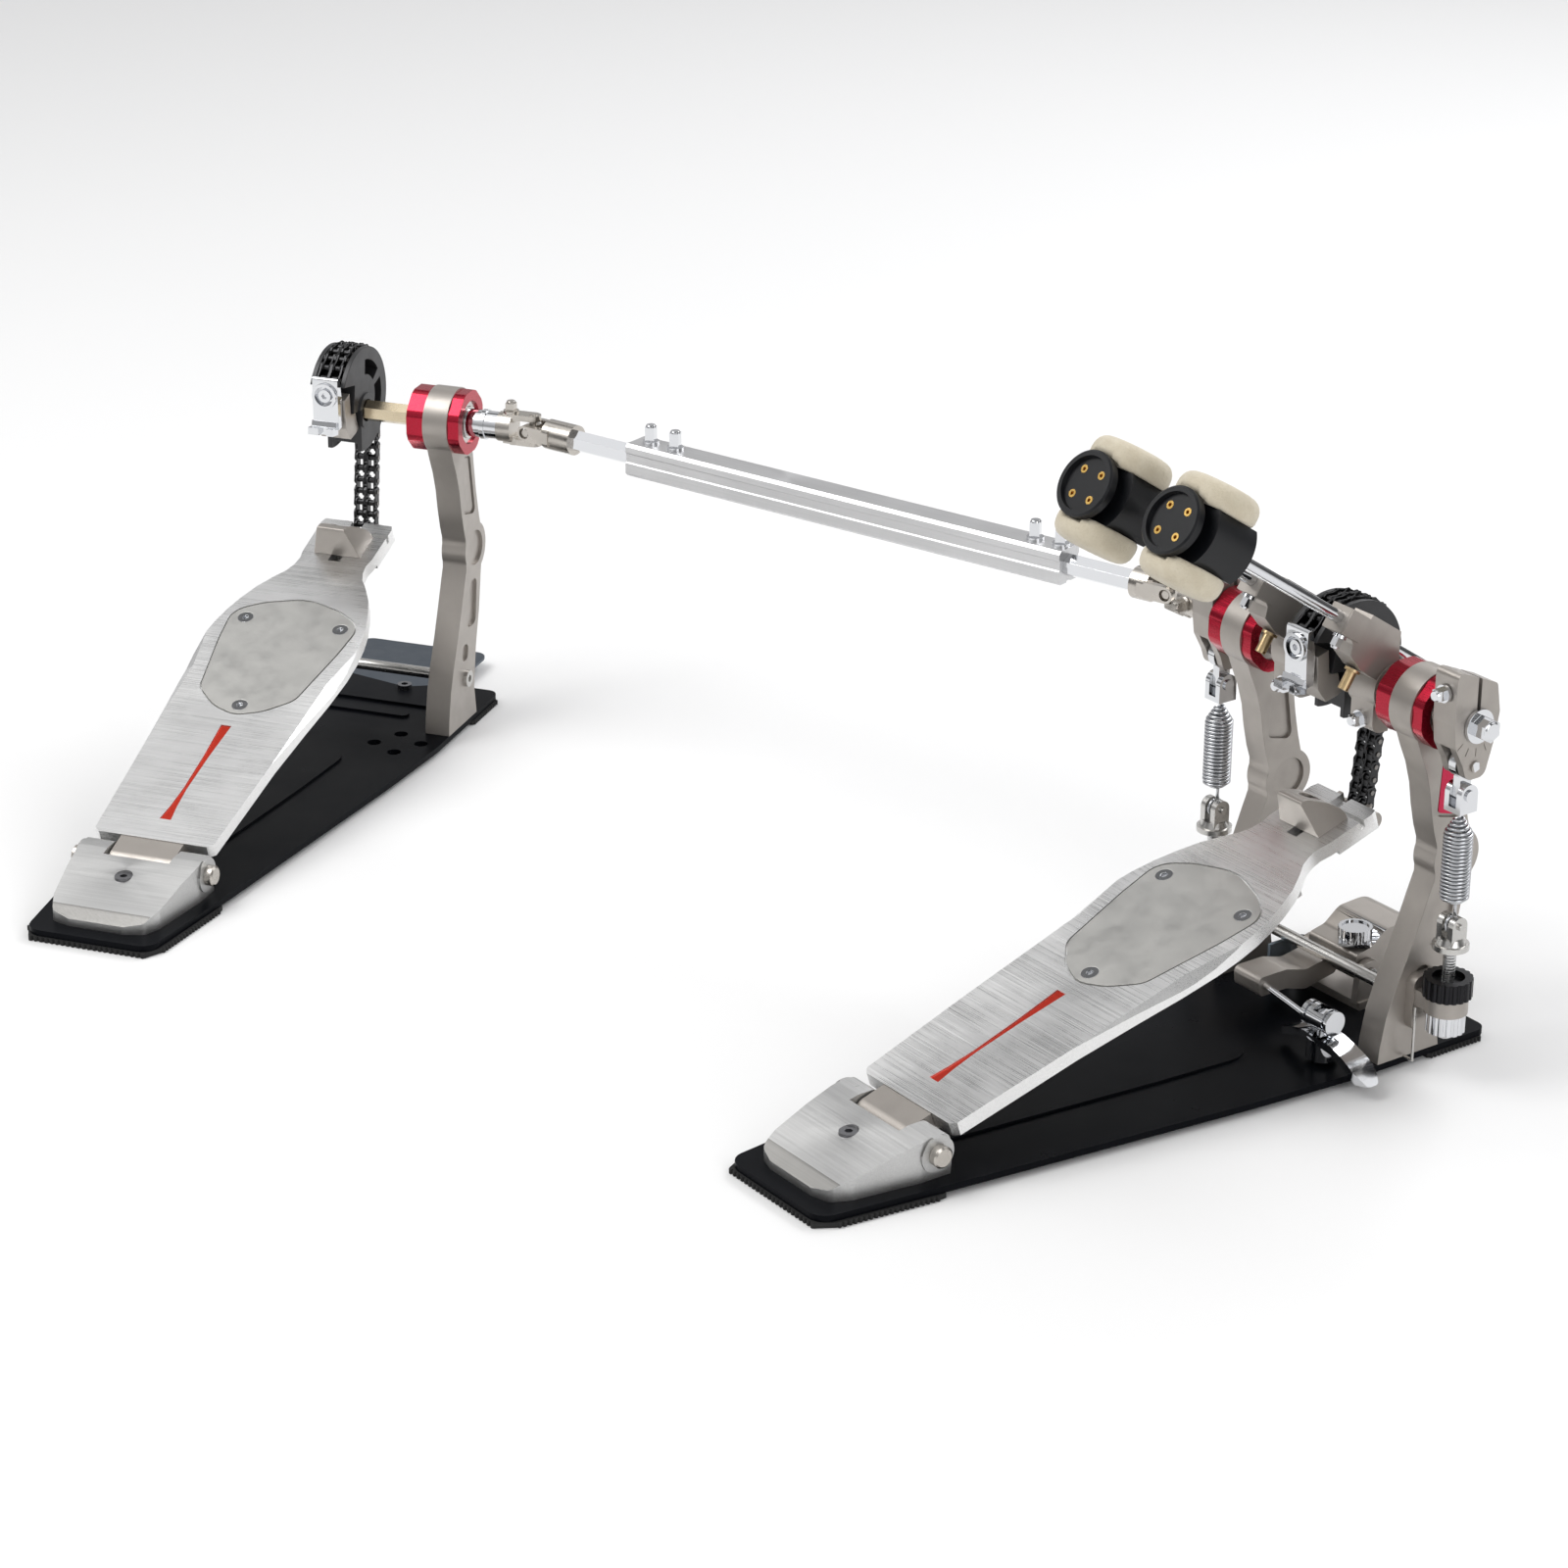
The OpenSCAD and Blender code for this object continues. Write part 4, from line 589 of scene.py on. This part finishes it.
def felt_pair(side, sx):
    verts, faces = [], []
    origin = Vector((sx * 0.029, 0, SHAFT_Z))
    e_x = Vector((1, 0, 0))
    e_m = Vector((0, math.cos(LEAN), math.sin(LEAN)))
    e_t = Vector((0, -math.sin(LEAN), math.cos(LEAN)))
    c0 = origin + e_m * 0.016 + e_t * 0.1505
    R = 0.021
    prof = [(0.004, 0.0), (0.011, 0.0), (0.0178, 0.0001), (0.0187, 0.0008), (0.0192, 0.0022), (0.0193, 0.0042), (0.0191, 0.0062), (0.0186, 0.0080),
            (0.0177, 0.0095), (0.0163, 0.0108), (0.0146, 0.0116), (0.0125, 0.0120), (0.010, 0.0122), (0.007, 0.0123), (0.004, 0.0123), (0.0015, 0.0123)]
    seg = 128
    for s in (-1, 1):
        base = len(verts)
        phase = rng.random(8) * 6.28
        for j, (r, h) in enumerate(prof):
            for k in range(seg):
                a = 2 * math.pi * k / seg
                fuzz = 0.00016 * (rng.random() - 0.5) + 0.00012 * math.sin(3 * a + phase[0]) + 0.00008 * math.sin(7 * a + phase[1])
                rr = r + (fuzz if j > 1 and r > 0.012 else 0)
                hh = h + (0.00012 * (rng.random() - 0.5) if j > 5 else 0)
                px, pt, pm = rr * math.cos(a), rr * math.sin(a), 0.01284 + hh
                if pt > 0.0138 and math.hypot(px, pm) < 0.0163:
                    pt = 0.0138  # seat under the cap
                p = c0 + e_x * px + e_t * pt + e_m * s * pm
                verts.append(p)
        for j in range(len(prof) - 1):
            for k in range(seg):
                a = base + j * seg + k
                b = base + j * seg + (k + 1) % seg
                q = (a, b, b + seg, a + seg)
                faces.append(q if s < 0 else tuple(reversed(q)))
        first = tuple(base + k for k in range(seg))
        last = tuple(base + (len(prof) - 1) * seg + k for k in range(seg))
        faces.append(tuple(reversed(first)) if s < 0 else first)
        faces.append(last if s < 0 else tuple(reversed(last)))
    o = make(side + "_felt", verts, faces, "felt", None)
    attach(o, side + "_beater_head")
    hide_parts(side + "_beater_felts")


felt_pair("right", 1)
felt_pair("left", -1)

# ------------------------------------------------------------------ floor, light, camera
floor_mat = Mat("floor_pale", (0.86, 0.86, 0.86), 0.0, 0.65, spec=0.2)
floor_mat.bump(floor_mat.noise(floor_mat.mapped(), 40, 3.0), 0.02, 0.001)
bpy.ops.mesh.primitive_plane_add(size=14, location=(0, 0, -0.0002))
floor = bpy.context.object
floor.name = "floor"
floor.data.materials.append(floor_mat.m)

world = bpy.data.worlds.new("studio")
bpy.context.scene.world = world
world.use_nodes = True
wt = world.node_tree
bg = next(n for n in wt.nodes if n.type == "BACKGROUND")
geo = wt.nodes.new("ShaderNodeTexCoord")
sep = wt.nodes.new("ShaderNodeSeparateXYZ")
rampn = wt.nodes.new("ShaderNodeValToRGB")
wt.links.new(geo.outputs["Generated"], sep.inputs[0])
mr = wt.nodes.new("ShaderNodeMapRange")
mr.inputs["From Min"].default_value = -1
mr.inputs["From Max"].default_value = 1
wt.links.new(sep.outputs["Z"], mr.inputs["Value"])
wt.links.new(mr.outputs["Result"], rampn.inputs["Fac"])
cr = rampn.color_ramp
cr.elements[0].position = 0.0
cr.elements[0].color = (0.75, 0.75, 0.75, 1)
cr.elements[1].position = 1.0
cr.elements[1].color = (1.0, 1.0, 1.0, 1)
for pos, v in ((0.49, 0.62), (0.56, 0.36), (0.66, 0.55), (0.82, 1.0)):
    e = cr.elements.new(pos)
    e.color = (v, v, v * 1.01, 1)
# soft uneven surroundings, so that chrome has something dark and bright to reflect
cloud = wt.nodes.new("ShaderNodeTexNoise")
cloud.inputs["Scale"].default_value = 1.9
cloud.inputs["Detail"].default_value = 1.5
wt.links.new(geo.outputs["Generated"], cloud.inputs["Vector"])
dark = wt.nodes.new("ShaderNodeMapRange")
dark.interpolation_type = "SMOOTHSTEP"
dark.inputs["From Min"].default_value = 0.42
dark.inputs["From Max"].default_value = 0.54
dark.inputs["To Min"].default_value = 0.22
dark.inputs["To Max"].default_value = 1.3
wt.links.new(cloud.outputs["Fac"], dark.inputs["Value"])
mul = wt.nodes.new("ShaderNodeVectorMath")
mul.operation = "SCALE"
wt.links.new(rampn.outputs["Color"], mul.inputs[0])
wt.links.new(dark.outputs["Result"], mul.inputs["Scale"])
wt.links.new(mul.outputs["Vector"], bg.inputs["Color"])
bg.inputs["Strength"].default_value = 0.80


def area(name, loc, target, size, power, color=(1, 1, 1)):
    light = bpy.data.lights.new(name, "AREA")
    light.shape = "RECTANGLE"
    light.size, light.size_y = size
    light.energy = power
    light.color = color
    o = bpy.data.objects.new(name, light)
    bpy.context.scene.collection.objects.link(o)
    o.location = loc
    d = Vector(target) - Vector(loc)
    o.rotation_euler = d.to_track_quat("-Z", "Y").to_euler()
    return o


area("key", (-0.9, -1.3, 1.9), (-0.2, -0.1, 0.1), (1.3, 1.3), 26, (1, 0.995, 0.985))
area("fill", (1.9, -0.2, 1.0), (-0.1, -0.1, 0.1), (1.0, 1.6), 12)
area("back", (-0.4, 1.7, 1.5), (-0.2, -0.1, 0.1), (1.8, 0.9), 22, (0.985, 0.99, 1))

cam_data = bpy.data.cameras.new("camera")
cam = bpy.data.objects.new("camera", cam_data)
bpy.context.scene.collection.objects.link(cam)
az, el, roll = math.radians(53.93), math.radians(23.08), math.radians(0.37)
back = Vector((math.sin(az) * math.cos(el), -math.cos(az) * math.cos(el), math.sin(el)))
right = Vector((math.cos(az), math.sin(az), 0))
up = back.cross(right)
r2 = right * math.cos(roll) + up * math.sin(roll)
u2 = -right * math.sin(roll) + up * math.cos(roll)
mat = Matrix((r2, u2, back)).transposed().to_4x4()
mat.translation = Vector((1.39095, -1.33063, 0.92970))
cam.matrix_world = mat
cam_data.sensor_width = 36
cam_data.lens = 4541 / 1600 * 36
cam_data.clip_start = 0.05
cam_data.clip_end = 50
bpy.context.scene.camera = cam

bpy.context.scene.view_settings.view_transform = "Standard"
bpy.context.scene.view_settings.look = "None"
bpy.context.scene.view_settings.exposure = 0.0
